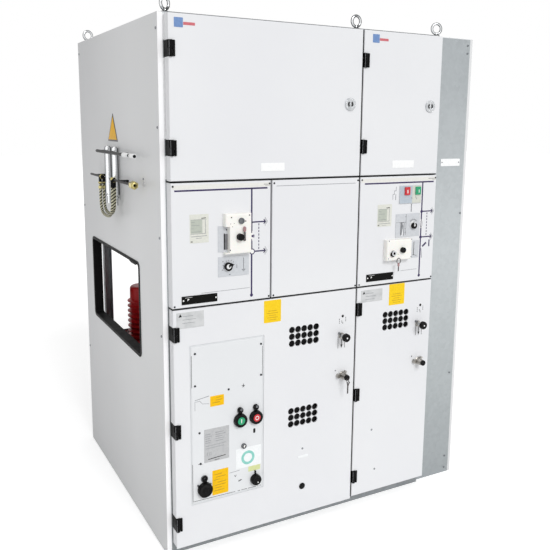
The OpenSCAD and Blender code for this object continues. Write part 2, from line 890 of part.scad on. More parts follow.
// The part of a hinge on the door: upper barrel and leaf on the door's face
module door_hinge(h) {
    face = pin_proud;
    difference() {
        union() {
            translate([0, 0, h / 2 + 0.3]) cylinder(r = barrel_r, h = h / 2 - 0.3);
            translate([0, face - leaf_t, h / 2 + 0.3])
                cube([barrel_r + leaf_clear, leaf_t - running, h / 2 - 0.3]);
            translate([barrel_r + leaf_clear, face - leaf_t, 0]) cube([leaf_w, leaf_t, h]);
        }
        translate([0, 0, -1]) cylinder(r = pin_r + running, h = h + 2);
    }
}

// Places a door's hinges by its left edge
module at_hinges(x, zs) {
    for (z = zs)
        translate([x + pin_inset, pin_y, z - hinge_h / 2]) children();
}

module frame_hinges() {
    color(black) in_frame()
        for (x = [left_door_x, right_door_x])
            at_hinges(x, concat(low_hinge_z, lv_hinge_z)) frame_hinge(hinge_h);
}

// A hole through a door's face for a lock or spindle
module door_bore(x, z, r) {
    translate([x, door_y - 1, z]) rod_y(r, sheet + 2);
}

module lv_door(x, w) {
    difference() {
        translate([x, door_y, lv_door_z]) tray(w, lv_door_h, door_d);
        hinge_notch(x, lv_hinge_z);
        door_bore(x + w - lv_lock_inset, lv_lock_z, sleeve_r);
    }
}

module vent_holes(x, z) {
    for (i = [0:vent_cols - 1], j = [0:vent_rows - 1])
        door_bore(x + (i - (vent_cols - 1) / 2) * vent_pitch,
            z + (j - (vent_rows - 1) / 2) * vent_pitch, vent_r);
}

module lower_door(x, w) {
    difference() {
        translate([x, door_y, plinth_h]) tray(w, lower_door_h, door_d);
        hinge_notch(x, low_hinge_z);
        door_bore(x + w - knob_inset, knob_z, bush_r - 4);
        door_bore(x + w - key_inset, key_z, key_r - 3);
    }
}

module lv_door_left() {
    color(paint) in_frame() lv_door(left_door_x, left_door_w);
}

module lv_door_right() {
    color(paint) in_frame() lv_door(right_door_x, right_door_w);
}

module lower_door_left() {
    color(paint) in_frame() difference() {
        lower_door(left_door_x, left_door_w);
        for (z = left_vents_z) vent_holes(breaker_bay_x + left_vents_x, z);
        translate([breaker_left - cutout_gap, door_y - 1, breaker_z - cutout_gap])
            cube([breaker_w + 2 * cutout_gap, sheet + 2, breaker_h + 2 * cutout_gap]);
    }
}

module lower_door_right() {
    color(paint) in_frame() difference() {
        lower_door(right_door_x, right_door_w);
        vent_holes(switch_bay_x + right_vents_x, right_vents_z);
    }
}

// All the hinge halves of one door
module door_hinges(x, zs) {
    color(black) in_frame() at_hinges(x, zs) door_hinge(hinge_h);
}

module lv_hinges_left() { door_hinges(left_door_x, lv_hinge_z); }
module lv_hinges_right() { door_hinges(right_door_x, lv_hinge_z); }
module lower_hinges_left() { door_hinges(left_door_x, low_hinge_z); }
module lower_hinges_right() { door_hinges(right_door_x, low_hinge_z); }

// A lock's rosette on the door's face and its sleeve behind it
module lv_rosette(x) {
    color(chrome) in_frame() translate([x, door_y, lv_lock_z]) difference() {
        union() {
            translate([0, -rosette_t, 0]) rod_y(rosette_r, rosette_t);
            rod_y(sleeve_r, sleeve_l);
        }
        translate([0, -rosette_t - 1, 0]) rod_y(plug_r + running, rosette_t + sleeve_l + 2);
    }
}

// A cam tongue hanging down from a shaft along Y, its back face at cam_y + cam_t
module cam(z, x, inset) {
    reach = inset + seam / 2 - sheet - cam_clear;
    translate([x - cam_w / 2, cam_y, z - reach]) cube([cam_w, cam_t, reach]);
    translate([x, cam_y, z]) rod_y(cam_w / 2, cam_t);
}

module lv_cam(x) {
    color(chrome) in_frame() {
        translate([x, door_y - rosette_t + 1, lv_lock_z])
            rod_y(plug_r, sleeve_l + rosette_t - 1);
        translate([x, door_y + sleeve_l, lv_lock_z]) rod_y(shaft_r, cam_y - door_y - sleeve_l);
        cam(lv_lock_z, x, lv_lock_inset);
    }
}

module lv_rosette_left() { lv_rosette(left_lock_x); }
module lv_rosette_right() { lv_rosette(right_lock_x); }
module lv_cam_left() { lv_cam(left_lock_x); }
module lv_cam_right() { lv_cam(right_lock_x); }

// The bush of the knob and the barrel of the key lock on a lower door
module lower_lock(x) {
    color(chrome) in_frame() {
        translate([x - knob_inset, door_y, knob_z]) difference() {
            union() {
                translate([0, -bush_t, 0]) rod_y(bush_r, bush_t);
                rod_y(bush_r - 4, bush_l);
            }
            translate([0, -bush_t - 1, 0]) rod_y(shaft_r + running, bush_t + bush_l + 2);
        }
        translate([x - key_inset, door_y, key_z]) difference() {
            union() {
                translate([0, -key_l, 0]) rod_y(key_r + 1, key_l);
                rod_y(key_r - 3, door_d - 8);
            }
            translate([0, -key_l - 1, 0]) rod_y(key_core_r + running, key_core_l + 2);
        }
    }
}

module lower_lock_left() { lower_lock(left_door_x + left_door_w); }
module lower_lock_right() { lower_lock(right_door_x + right_door_w); }

// The turning core of a key lock, with its black face in front of the barrel
module key_rotor(x) {
    color(black) in_frame() translate([x - key_inset, door_y - key_l, key_z]) {
        translate([0, -key_cap_t, 0]) rod_y(key_r, key_cap_t);
        rod_y(key_core_r, key_core_l);
    }
}

module key_rotor_left() { key_rotor(left_door_x + left_door_w); }
module key_rotor_right() { key_rotor(right_door_x + right_door_w); }

// A turned knob on a spindle that carries the cam behind the door
module door_knob(x) {
    color(black) in_frame() {
        translate([x, door_y - knob_out, knob_z]) rotate([-90, 0, 0]) rotate_extrude()
            polygon(concat([[0, 0]], arc(knob_r - 4, 4, 4, 270, 360), [[knob_r, knob_l - 3],
                [knob_r - 3, knob_l], [0, knob_l]]));
        translate([x, door_y - knob_out + knob_l, knob_z])
            rod_y(shaft_r, knob_out - knob_l - door_y + cam_y);
        cam(knob_z, x, knob_inset);
    }
}

module door_knob_left() { door_knob(left_door_x + left_door_w - knob_inset); }
module door_knob_right() { door_knob(right_door_x + right_door_w - knob_inset); }

// ---- Tools on the left side ----

// A pin along X from the side cover out to x
module prop(x, y, z) {
    translate([x, y, z]) rotate([0, 90, 0]) cylinder(r = prop_r, h = -x);
}

// An upright tube with a collar, held off the side cover by two props
module upright_tube(y) {
    collar_top = collar_z + collar_h;
    translate([tube_x, y, high_bar_z + tube_rise - tube_l]) {
        cylinder(r = tube_r - core_inset, h = tube_l);
        translate([0, 0, collar_top]) cylinder(r = tube_r, h = tube_l - collar_top - 4);
        translate([0, 0, collar_z]) cylinder(r = tube_r + 1, h = collar_h);
        translate([0, 0, collar_z - ring_drop]) cylinder(r = tube_r - 1, h = ring_h);
    }
    for (z = [high_bar_z, low_bar_z]) prop(tube_x, y, z);
}

module tool_hooks() {
    color(chrome) in_frame() for (y = [front_tube_y, rear_tube_y]) upright_tube(y);
}

// A bar along Y between two places
module bar(span, z, r, x = bar_x) {
    translate([x, span[0], z]) rod_y(r, span[1] - span[0]);
}

// A cable lug round a grip, with its stem down to the lead
module lug(end, x) {
    bar([end - lug_half, end + lug_half], low_bar_z, lug_r, grip_x);
    translate([x, end, lead_top_z]) cylinder(r = lead_r, h = low_bar_z - lead_top_z);
}

module operating_levers() {
    color("#3a3c3e") in_frame() {
        bar(high_bar_y, high_bar_z, bar_r);
        for (f = ferrules)
            bar([high_bar_y[0] + f[0], high_bar_y[0] + f[0] + f[1]], high_bar_z,
                bar_r + ferrule_proud);
        for (y = high_prop_y) prop(bar_x, y, high_bar_z);
        for (span = grips_y) bar(span, low_bar_z, grip_r, grip_x);
        bar([grips_y[0][0], grips_y[0][0] + grip_collar_l], low_bar_z, grip_collar_r, grip_x);
        for (y = grip_prop_y) prop(grip_x, y, low_bar_z);
        for (i = [0, 1]) {
            lug(outer_route[i * (len(outer_route) - 1)][0], lead_x[0]);
            lug(inner_route[i * (len(inner_route) - 1)][0], lead_x[1]);
        }
    }
}

// A hexagon nut with a through hole, on the front end of the front grip
module bar_nut() {
    color("#b9a55c") in_frame() translate([grip_x, grips_y[0][0] - nut_h, low_bar_z])
        rotate([-90, 30, 0]) difference() {
            cylinder(r = nut_r, h = nut_h, $fn = 6);
            translate([0, 0, -1]) cylinder(r = nut_bore_r, h = nut_h + 2);
        }
}

// A lead drawn along a route of [y, z] points in the plane at x
module lead(route, x, r, sides = 8) {
    n = len(route);
    rings = [for (i = [0:n - 1])
        let (a = route[max(i - 1, 0)], b = route[min(i + 1, n - 1)],
            d = (b - a) / norm(b - a))
        for (k = [0:sides - 1])
            let (u = r * cos(360 * k / sides), v = r * sin(360 * k / sides))
            [x + u, route[i][0] - v * d[1], route[i][1] + v * d[0]]];
    walls = [for (i = [0:n - 2], k = [0:sides - 1])
        let (m = (k + 1) % sides)
        [i * sides + k, (i + 1) * sides + k, (i + 1) * sides + m, i * sides + m]];
    caps = [[for (k = [0:sides - 1]) k], [for (k = [sides - 1:-1:0]) (n - 1) * sides + k]];
    polyhedron(points = rings, faces = concat(walls, caps), convexity = 4);
}

module earthing_lead_outer() { color("#a59a5a") in_frame() lead(outer_route, lead_x[0], lead_r); }
module earthing_lead_inner() { color("#a59a5a") in_frame() lead(inner_route, lead_x[1], lead_r); }

base_frame();
left_side_cover();
right_side_cover();
side_window_frame();
rear_window_frame();
window_wall();
bay_walls();
frame_members();
rear_window_cover();
rear_covers();
roof_plates();
eye_bolts();
end_front();
deck_plates();
lv_boxes();
mechanism_boxes();
mimic_cover_left();
blank_cover();
mimic_cover_right();
interlock_boxes();
mimic_plates();
mimic_knobs();
breaker_front();
breaker_housing();
breaker_chassis();
breaker_poles();
pole_terminals();
breaker_controls();
frame_hinges();
tool_hooks();
operating_levers();
bar_nut();
earthing_lead_inner();
earthing_lead_outer();
lv_door_left();
lv_hinges_left();
lv_rosette_left();
lv_cam_left();
lv_door_right();
lv_hinges_right();
lv_rosette_right();
lv_cam_right();
lower_door_left();
lower_hinges_left();
lower_lock_left();
key_rotor_left();
door_knob_left();
lower_door_right();
lower_hinges_right();
lower_lock_right();
key_rotor_right();
door_knob_right();
on_button();
off_button();
switch_on_button();
switch_off_button();
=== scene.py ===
import math

import bmesh
import bpy
from mathutils import Matrix, Vector


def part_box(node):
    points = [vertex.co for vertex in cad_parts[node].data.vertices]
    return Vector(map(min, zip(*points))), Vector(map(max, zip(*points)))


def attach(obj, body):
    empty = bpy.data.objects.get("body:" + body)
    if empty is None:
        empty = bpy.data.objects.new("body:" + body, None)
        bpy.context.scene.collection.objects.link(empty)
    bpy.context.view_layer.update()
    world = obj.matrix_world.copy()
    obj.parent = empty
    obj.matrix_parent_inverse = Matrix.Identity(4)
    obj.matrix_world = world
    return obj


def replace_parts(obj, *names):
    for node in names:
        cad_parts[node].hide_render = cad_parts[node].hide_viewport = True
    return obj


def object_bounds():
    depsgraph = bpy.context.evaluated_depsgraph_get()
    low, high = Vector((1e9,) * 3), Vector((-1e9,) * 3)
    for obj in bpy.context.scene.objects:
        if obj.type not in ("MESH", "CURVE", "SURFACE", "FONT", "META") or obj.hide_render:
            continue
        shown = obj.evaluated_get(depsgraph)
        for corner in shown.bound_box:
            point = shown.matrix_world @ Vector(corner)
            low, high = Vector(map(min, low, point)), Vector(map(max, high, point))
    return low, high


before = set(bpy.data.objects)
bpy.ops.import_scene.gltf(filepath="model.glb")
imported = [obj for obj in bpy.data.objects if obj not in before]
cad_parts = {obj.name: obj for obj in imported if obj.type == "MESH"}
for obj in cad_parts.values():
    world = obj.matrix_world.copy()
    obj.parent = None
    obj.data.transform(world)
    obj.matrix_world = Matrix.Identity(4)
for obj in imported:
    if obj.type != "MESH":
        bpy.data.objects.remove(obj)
cad_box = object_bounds()
bpy.context.scene.view_settings.view_transform = "Standard"


# ---- Camera ----
# A short telephoto lens a little above the doors' middle, off the cabinet's left corner, so
# that the front and the left side show together.
lens = bpy.data.cameras.new("camera")
lens.lens, lens.sensor_width = 45.934, 36
lens.shift_x, lens.shift_y = -0.01887, -0.05089
camera = bpy.data.objects.new("camera", lens)
camera.location = (-1.42716, -2.771948, 1.544527)
camera.rotation_euler = [math.radians(a) for a in (80.0155, -0.6254, -28.8071)]
bpy.context.scene.collection.objects.link(camera)
bpy.context.scene.camera = camera


# ---- Earthing leads ----
# Two short leads of laid bare copper wire, each pressed into cable lugs at both ends. They hang
# as a double loop from the lower operating bars, dulled to a yellowish brown between the strands.
# Places along and up the side are mm from the cabinet's left front foot corner.
foot_corner = (-0.6735, -0.55)
lead_d = 0.012
strand_lay = 0.0125
lead_x = {"outer": -0.7155, "inner": -0.7025}
lead_runs = {
    "outer": [(612, 1296), (612, 1276), (612, 1250), (611, 1230), (607, 1212), (599, 1197),
              (587, 1187), (571, 1182), (553, 1180), (533, 1179), (513, 1179), (494, 1181),
              (476, 1186), (461, 1195), (449, 1208), (441, 1225), (437, 1244), (435, 1268),
              (435, 1296)],
    "inner": [(609, 1296), (609, 1276), (609, 1256), (608, 1236), (606, 1222), (600, 1208),
              (590, 1198), (576, 1191), (560, 1188), (540, 1187), (520, 1187), (500, 1190),
              (484, 1196), (470, 1206), (459, 1220), (453, 1238), (450, 1256), (449, 1276),
              (449, 1296)]}


def linear(colour, alpha=1.0):
    """An sRGB hex colour as the linear colour that the shaders take."""
    parts = [int(colour[i:i + 2], 16) / 255 for i in (1, 3, 5)]
    return (*[p / 12.92 if p <= 0.04045 else ((p + 0.055) / 1.055) ** 2.4 for p in parts], alpha)


def add(tree, kind, links=None, **settings):
    """Adds one node to a tree, with its settings, and its sockets filled from numbers or outputs."""
    node = tree.nodes.new(kind)
    for name, value in settings.items():
        setattr(node, name, value)
    for socket, value in (links or {}).items():
        if isinstance(value, bpy.types.NodeSocket):
            tree.links.new(value, node.inputs[socket])
        else:
            node.inputs[socket].default_value = value
    return node


def finish(name, colour, rough, metallic=0.0, **sockets):
    """A new material of one colour: its tree and its shader, ready for a pattern."""
    made = bpy.data.materials.new(name)
    made.use_nodes = True
    shader = made.node_tree.nodes["Principled BSDF"]
    shader.inputs["Base Color"].default_value = linear(colour)
    shader.inputs["Roughness"].default_value = rough
    shader.inputs["Metallic"].default_value = metallic
    for socket, value in sockets.items():
        shader.inputs[socket.replace("_", " ")].default_value = value
    made.diffuse_color = linear(colour)
    return made, made.node_tree, shader


def ramp(tree, fac, stops):
    """A colour ramp through (place, hex colour) stops."""
    node = add(tree, "ShaderNodeValToRGB", {"Fac": fac})
    band = node.color_ramp
    while len(band.elements) < len(stops):
        band.elements.new(0.5)
    for element, (place, colour) in zip(band.elements, stops):
        element.position, element.color = place, linear(colour)
    return node.outputs["Color"]


def colour_by(tree, shader, fac, stops):
    """Colours a shader by a pattern, through (place, hex colour) stops."""
    tree.links.new(ramp(tree, fac, stops), shader.inputs["Base Color"])


def bump(tree, shader, height, distance):
    """Sends a height pattern to a shader's normal. The distance is the relief in metres."""
    node = add(tree, "ShaderNodeBump", {"Height": height, "Distance": distance})
    tree.links.new(node.outputs["Normal"], shader.inputs["Normal"])


def put(name, mesh, material, body="cabinet"):
    """Puts a bmesh, in metres in the row's frame, into the scene on its CAD body."""
    bmesh.ops.recalc_face_normals(mesh, faces=mesh.faces)
    data = bpy.data.meshes.new(name)
    mesh.to_mesh(data)
    mesh.free()
    piece = bpy.data.objects.new(name, data)
    bpy.context.scene.collection.objects.link(piece)
    data.materials.append(material)
    data.shade_smooth()
    data.set_sharp_from_angle(angle=math.radians(35))
    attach(piece, body)
    return piece


def smooth_run(points, step):
    """A smooth line through points, in places a step apart."""
    line = []
    for i in range(len(points) - 1):
        a, b, c, d = (points[min(max(i + k, 0), len(points) - 1)] for k in (-1, 0, 1, 2))
        n = max(1, round((c - b).length / step))
        for k in range(n):
            t = k / n
            line.append(0.5 * ((2 * b) + (c - a) * t + (2 * a - 5 * b + 4 * c - d) * t * t
                               + (3 * b - a - 3 * c + d) * t ** 3))
    return line + [points[-1]]


def close_over(mesh, rings, loop=False):
    """Closes a solid over rings of vertices: with caps, or in a loop back to the first ring."""
    for near, far in zip(rings, rings[1:] + (rings[:1] if loop else [])):
        for k in range(len(near)):
            m = (k + 1) % len(near)
            mesh.faces.new((near[k], near[m], far[m], far[k]))
    if not loop:
        mesh.faces.new(rings[0][::-1])
        mesh.faces.new(rings[-1])


def swept(mesh, line, section):
    """Sweeps closed rings along a line. section(distance) gives a ring's (across, up) points."""
    rings, side, run = [], None, 0.0
    for i, point in enumerate(line):
        along = (line[min(i + 1, len(line) - 1)] - line[max(i - 1, 0)]).normalized()
        side = side or along.orthogonal().normalized()
        side = (side - along * side.dot(along)).normalized()
        up = along.cross(side)
        run += (point - line[i - 1]).length if i else 0.0
        rings.append([mesh.verts.new(point + side * u + up * v) for u, v in section(run)])
    close_over(mesh, rings)


def laid_wire(distance):
    """Two strands laid round each other, turning once in two lays."""
    turn = math.pi * distance / strand_lay
    ring = []
    for k in range(48):
        a = 2 * math.pi * k / 48
        r = lead_d / 2 * (0.72 + 0.28 * abs(math.cos(a)) ** 0.5)
        ring.append((r * math.cos(a + turn), r * math.sin(a + turn)))
    return ring


# Bare copper wire, drawn and laid: yellowish crests, blotched by handling, over furrows where
# the tarnish has turned black. The lay is drawn coarser than the real one, so that it shows.
wires = []
for name, pale, dull, metallic in (("laid_copper_wire", "#e2dfc6", "#a19d7c", 0.3),
                                   ("tarnished_copper_furrows", "#2b291b", "#15140c", 0.2)):
    made, tree, shader = finish(name, pale, 0.42, metallic)
    tarnish = add(tree, "ShaderNodeTexNoise", {"Scale": 70.0, "Detail": 4.0})
    colour_by(tree, shader, tarnish.outputs["Fac"], [(0.36, dull), (0.58, pale)])
    fibre = add(tree, "ShaderNodeTexNoise", {"Scale": 900.0, "Detail": 2.0})
    bump(tree, shader, fibre.outputs["Fac"], 0.0004)
    wires.append(made)

for name, run in lead_runs.items():
    route = [Vector((lead_x[name], y / 1000 + foot_corner[1], z / 1000)) for y, z in run]
    line = smooth_run(route, 0.0015)
    mesh = bmesh.new()
    swept(mesh, line, laid_wire)
    lead = put(f"earthing_lead_{name}_wire", mesh, wires[0])
    lead.data.materials.append(wires[1])
    for face in lead.data.polygons:
        furrow = abs(math.cos(2 * math.pi * (face.index % 48 + 0.5) / 48)) < 0.7
        face.material_index = int(furrow)
    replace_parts(lead, f"earthing_lead_{name}")


# ---- Floor, backdrop and light ----
# A pale floor that keeps the cabinet's shadow, a white surround, one soft lamp from the front
# and even light from all round.
def seen_by_eye(tree):
    """1 for what the eye sees straight, in a mirror or through a clear pane, and 0 for light."""
    path = add(tree, "ShaderNodeLightPath")
    seen = path.outputs["Is Camera Ray"]
    for ray in ("Is Glossy Ray", "Is Transmission Ray"):
        seen = add(tree, "ShaderNodeMath", {0: seen, 1: path.outputs[ray]},
                   operation="MAXIMUM").outputs["Value"]
    return seen


# Matt white, shown to the eye a little brighter than it lights the cabinet
floor_white, tree, shader = finish("pale_floor", "#e8e8e8", 0.9, Emission_Color=(1, 1, 1, 1))
lift = add(tree, "ShaderNodeMath", {0: seen_by_eye(tree), 1: 0.43}, operation="MULTIPLY")
tree.links.new(lift.outputs["Value"], shader.inputs["Emission Strength"])
mesh = bmesh.new()
bmesh.ops.create_grid(mesh, x_segments=1, y_segments=1, size=30)
data = bpy.data.meshes.new("floor")
mesh.to_mesh(data)
mesh.free()
floor = bpy.data.objects.new("floor", data)
floor.location.z = cad_box[0][2] - 0.0005
data.materials.append(floor_white)
bpy.context.scene.collection.objects.link(floor)

world = bpy.data.worlds.new("white_room")
world.use_nodes = True
bpy.context.scene.world = world
tree = world.node_tree
tree.nodes.clear()
ambient = add(tree, "ShaderNodeBackground", {"Color": (1, 1, 1, 1), "Strength": 0.62})
white = add(tree, "ShaderNodeBackground", {"Color": (1, 1, 1, 1), "Strength": 1.0})
both = add(tree, "ShaderNodeMixShader", {"Fac": seen_by_eye(tree), 1: ambient.outputs[0],
                                         2: white.outputs[0]})
add(tree, "ShaderNodeOutputWorld", {"Surface": both.outputs[0]})

lamp = bpy.data.lights.new("soft_lamp", "SUN")
lamp.energy, lamp.angle = 1.48, math.radians(24)
key_lamp = bpy.data.objects.new("soft_lamp", lamp)
key_lamp.rotation_euler = Vector((0.06, -1.0, 0.72)).to_track_quat("Z", "Y").to_euler()
bpy.context.scene.collection.objects.link(key_lamp)


# ---- Painted steel covers ----
# Folded steel sheet, powder coated in a light grey and baked: the coat flows out to a fine
# orange peel with a soft satin sheen. The covers are screwed to the frame from outside.
def coat(material, *nodes):
    """Gives CAD nodes their finish."""
    for part in (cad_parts[node] for node in nodes):
        if not part.material_slots:
            part.data.materials.append(None)
        for place in part.material_slots:
            place.link = "OBJECT"
            place.material = material


def roughen_by(tree, shader, fac, smooth, rough, span=(0.0, 1.0)):
    """Spreads a shader's roughness between two values by a pattern that fills a span."""
    spread = add(tree, "ShaderNodeMapRange", {"Value": fac, "From Min": span[0],
                                              "From Max": span[1], "To Min": smooth,
                                              "To Max": rough})
    tree.links.new(spread.outputs["Result"], shader.inputs["Roughness"])


def powder_coat(name, colour, shade):
    """Baked polyester powder on sheet steel: satin, orange-peeled, and even in colour."""
    made, tree, shader = finish(name, colour, 0.42, IOR=1.5)
    spot = add(tree, "ShaderNodeTexCoord").outputs["Object"]
    cloud = add(tree, "ShaderNodeTexNoise", {"Vector": spot, "Scale": 2.2, "Detail": 3.0})
    colour_by(tree, shader, cloud.outputs["Fac"], [(0.3, shade), (0.7, colour)])
    # 2.5 mm between the humps of the peel, three times what it really is, so that it shows
    peel = add(tree, "ShaderNodeTexNoise", {"Vector": spot, "Scale": 400.0, "Detail": 2.0})
    roughen_by(tree, shader, peel.outputs["Fac"], 0.36, 0.48)
    bump(tree, shader, peel.outputs["Fac"], 0.00006)
    return made


cover_paint = powder_coat("light_grey_powder_coat", "#e6e7e9", "#e2e3e6")
coat(cover_paint, "rear_window_cover", "rear_covers", "roof_plates", "lv_boxes",
     "mimic_cover_left", "blank_cover", "mimic_cover_right", "lv_door_left", "lv_door_right",
     "lower_door_left", "lower_door_right")
mask_paint = powder_coat("breaker_front_powder_coat", "#e3e5e7", "#dfe1e3")
coat(mask_paint, "breaker_front")


def paint_shade_along(made, **shades):
    """Paints shade softly into a finish along its piece, by shades over the Y or the Z share of its box.
    """
    tree, shader = made.node_tree, made.node_tree.nodes["Principled BSDF"]
    spot = add(tree, "ShaderNodeTexCoord").outputs["Generated"]
    share = add(tree, "ShaderNodeSeparateXYZ", {"Vector": spot})
    tint = shader.inputs["Base Color"].links[0].from_socket
    for axis, stops in shades.items():
        grey = ramp(tree, share.outputs[axis], stops)
        tint = add(tree, "ShaderNodeMixRGB", {"Fac": 1.0, "Color1": tint, "Color2": grey},
                   blend_type="MULTIPLY").outputs["Color"]
    tree.links.new(tint, shader.inputs["Base Color"])
    return made


# Painted shade greys the side covers towards their back and their foot
coat(paint_shade_along(powder_coat("side_powder_coat_painted_shade", "#e6e7e8", "#e2e3e4"),
            Y=[(0.3, "#ffffff"), (1.0, "#e4e4e5")],
            Z=[(0.05, "#eeeeee"), (0.4, "#ffffff"), (1.0, "#f8f8f8")]),
     "left_side_cover", "right_side_cover")


# ---- Galvanised frame and partitions ----
# Bent profiles and partitions of hot-dip galvanised sheet, bolted together: dull blue-grey zinc
# whose crystals, the spangle, each throw the light a little differently.
def zinc(name, light, dark, rough):
    """Hot-dip zinc: 14 mm spangles, each with its own grey, slope and polish."""
    made, tree, shader = finish(name, light, rough, 0.75)
    spot = add(tree, "ShaderNodeTexCoord").outputs["Object"]
    warp = add(tree, "ShaderNodeTexNoise", {"Vector": spot, "Scale": 90.0, "Detail": 2.0})
    bent = add(tree, "ShaderNodeMixRGB", {"Fac": 0.012, "Color1": spot,
                                          "Color2": warp.outputs["Color"]})
    grain = add(tree, "ShaderNodeTexVoronoi", {"Vector": bent.outputs["Color"], "Scale": 70.0})
    grey = add(tree, "ShaderNodeSeparateColor", {"Color": grain.outputs["Color"]})
    stain = add(tree, "ShaderNodeTexNoise", {"Vector": spot, "Scale": 6.0, "Detail": 5.0})
    level = add(tree, "ShaderNodeMath", {0: grey.outputs["Red"], 1: 0.55,
                                         2: stain.outputs["Fac"]}, operation="MULTIPLY_ADD")
    colour_by(tree, shader, level.outputs["Value"], [(0.35, dark), (1.1, light)])
    roughen_by(tree, shader, grey.outputs["Green"], rough - 0.08, rough + 0.08)
    bump(tree, shader, grey.outputs["Blue"], 0.00003)
    return made


coat(zinc("hot_dip_zinc", "#b3b8ba", "#a2a8ab", 0.46), "window_wall", "bay_walls",
     "frame_members", "deck_plates", "mechanism_boxes", "breaker_housing", "breaker_chassis")
# The plinth's zinc is darker than the frame's: painted shade, for the plinth in shadow under the doors
coat(zinc("plinth_zinc_painted_shade", "#919597", "#85898b", 0.5), "base_frame")


# ---- Left side: plain sign, screws and a blanked fixing ----
# A triangular sheet-metal sign, enamelled yellow with a dark rim and left plain, is riveted over
# the tools. Countersunk zinc screws hold the cover along its front edge.
def on_front(node):
    """Places on a CAD node's front: mm from its left edge, mm up from its foot, mm proud of it."""
    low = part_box(node)[0]
    return lambda x, z, out=0.0: Vector((low[0] + x / 1000, low[1] - out / 1000,
                                         low[2] + z / 1000))


def on_left(node):
    """Places on a CAD node's left side: mm from its front edge, mm up, mm proud of it."""
    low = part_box(node)[0]
    return lambda y, z, out=0.0: Vector((low[0] - out / 1000, low[1] + y / 1000,
                                         low[2] + z / 1000))


def size(node):
    """A CAD node's width, depth and height in mm."""
    return [(high - low) * 1000 for low, high in zip(*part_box(node))]


def arc(x, z, r, start, step, count, rz=None):
    """Points along an arc or a ring, in mm, its angles in degrees from the right."""
    turns = [math.radians(start + step * k) for k in range(count)]
    return [(x + r * math.cos(a), z + (rz or r) * math.sin(a)) for a in turns]


def rounded(x, z, w, h, r):
    """The outline of a rectangle with round corners, in mm."""
    corners = ((x + w - r, z + h - r, 0), (x + r, z + h - r, 90), (x + r, z + r, 180),
               (x + w - r, z + r, 270))
    return [point for cx, cz, turn in corners for point in arc(cx, cz, r, turn, 18, 6)]


def stack(mesh, place, layers):
    """Closes a solid over (outline, height) layers that have the same number of points."""
    close_over(mesh, [[mesh.verts.new(place(x, z, out)) for x, z in outline]
                      for outline, out in layers])


def plate(mesh, place, x, z, w, h, r, back, front, soft=0.2):
    """A flat plate on a panel, its front edges eased by soft mm."""
    inner = rounded(x + soft, z + soft, w - 2 * soft, h - 2 * soft, max(r - soft, 0.05))
    outer = rounded(x, z, w, h, r)
    stack(mesh, place, [(outer, back), (outer, front - soft), (inner, front)])


def cut(mesh, place, outline, back, front):
    """A flat shape cut out of sheet."""
    stack(mesh, place, [(outline, back), (outline, front)])


def turned(mesh, place, x, z, profile, sides=28):
    """A turned solid on a panel: (radius, height) points from its foot to its face."""
    stack(mesh, place, [(arc(x, z, r, 0, 360 / sides, sides), out) for r, out in profile])


def stroke(mesh, place, points, width, back, front):
    """A printed line of one width through points, mitred at its bends. It closes on itself where
    the last point is the first."""
    closed = math.dist(points[0], points[-1]) < 0.01
    path = [Vector(p) for p in (points[:-1] if closed else points)]
    rings = []
    for i, spot in enumerate(path):
        ways = []
        if i or closed:
            ways.append((spot - path[i - 1]).normalized())
        if i < len(path) - 1 or closed:
            ways.append((path[(i + 1) % len(path)] - spot).normalized())
        normals = [Vector((-way.y, way.x)) for way in ways]
        across = sum(normals, Vector((0, 0))).normalized()
        across *= width / 2 / max(0.5, across.dot(normals[0]))
        rings.append([mesh.verts.new(place(spot.x + k * across.x, spot.y + k * across.y, out))
                      for k, out in ((1, back), (1, front), (-1, front), (-1, back))])
    close_over(mesh, rings, closed)


def screw(mesh, place, x, z, r):
    """A low domed screw head with a six-sided socket."""
    turned(mesh, place, x, z, [(r, -0.3), (r, 0.25 * r), (0.85 * r, 0.5 * r), (0.48 * r, 0.6 * r),
                               (0.42 * r, 0.6 * r), (0.40 * r, 0.1 * r)], 24)


def lines(width, heights, *paths):
    """Printed lines of one width, as solids for one piece."""
    return [(stroke, path, width, *heights) for path in paths]


def piece(name, material, place, *solids, body="cabinet", slot=None):
    """Makes one piece of (maker, measures) solids on a panel, and puts it on its body."""
    mesh = bmesh.new()
    for maker, *measures in solids:
        maker(mesh, place, *measures)
    return put(name, mesh, material, body)


def film(name, colour, shade, rough=0.35, **sockets):
    """Printed film or enamel: an even colour with faint mottling and fine wiping marks."""
    made, tree, shader = finish(name, colour, rough, **sockets)
    spot = add(tree, "ShaderNodeTexCoord").outputs["Object"]
    mottle = add(tree, "ShaderNodeTexNoise", {"Vector": spot, "Scale": 120.0, "Detail": 3.0})
    colour_by(tree, shader, mottle.outputs["Fac"], [(0.35, shade), (0.65, colour)])
    wipe = add(tree, "ShaderNodeMapping", {"Vector": spot, "Scale": (40.0, 40.0, 900.0)})
    mark = add(tree, "ShaderNodeTexNoise", {"Vector": wipe.outputs["Vector"], "Scale": 1.0,
                                            "Detail": 2.0})
    roughen_by(tree, shader, mark.outputs["Fac"], rough - 0.06, rough + 0.08)
    bump(tree, shader, mottle.outputs["Fac"], 0.00002)
    return made


def bright_metal(name, colour, rough, dark, metallic=1.0):
    """A bright plated or polished metal, with the faint rings and rubs of handling."""
    made, tree, shader = finish(name, colour, rough, metallic)
    spot = add(tree, "ShaderNodeTexCoord").outputs["Object"]
    cloud = add(tree, "ShaderNodeTexNoise", {"Vector": spot, "Scale": 45.0, "Detail": 5.0})
    colour_by(tree, shader, cloud.outputs["Fac"], [(0.25, dark), (0.6, colour)])
    roughen_by(tree, shader, cloud.outputs["Fac"], rough - 0.05, rough + 0.12)
    grain = add(tree, "ShaderNodeTexNoise", {"Vector": spot, "Scale": 700.0, "Detail": 2.0})
    bump(tree, shader, grain.outputs["Fac"], 0.00003)
    return made
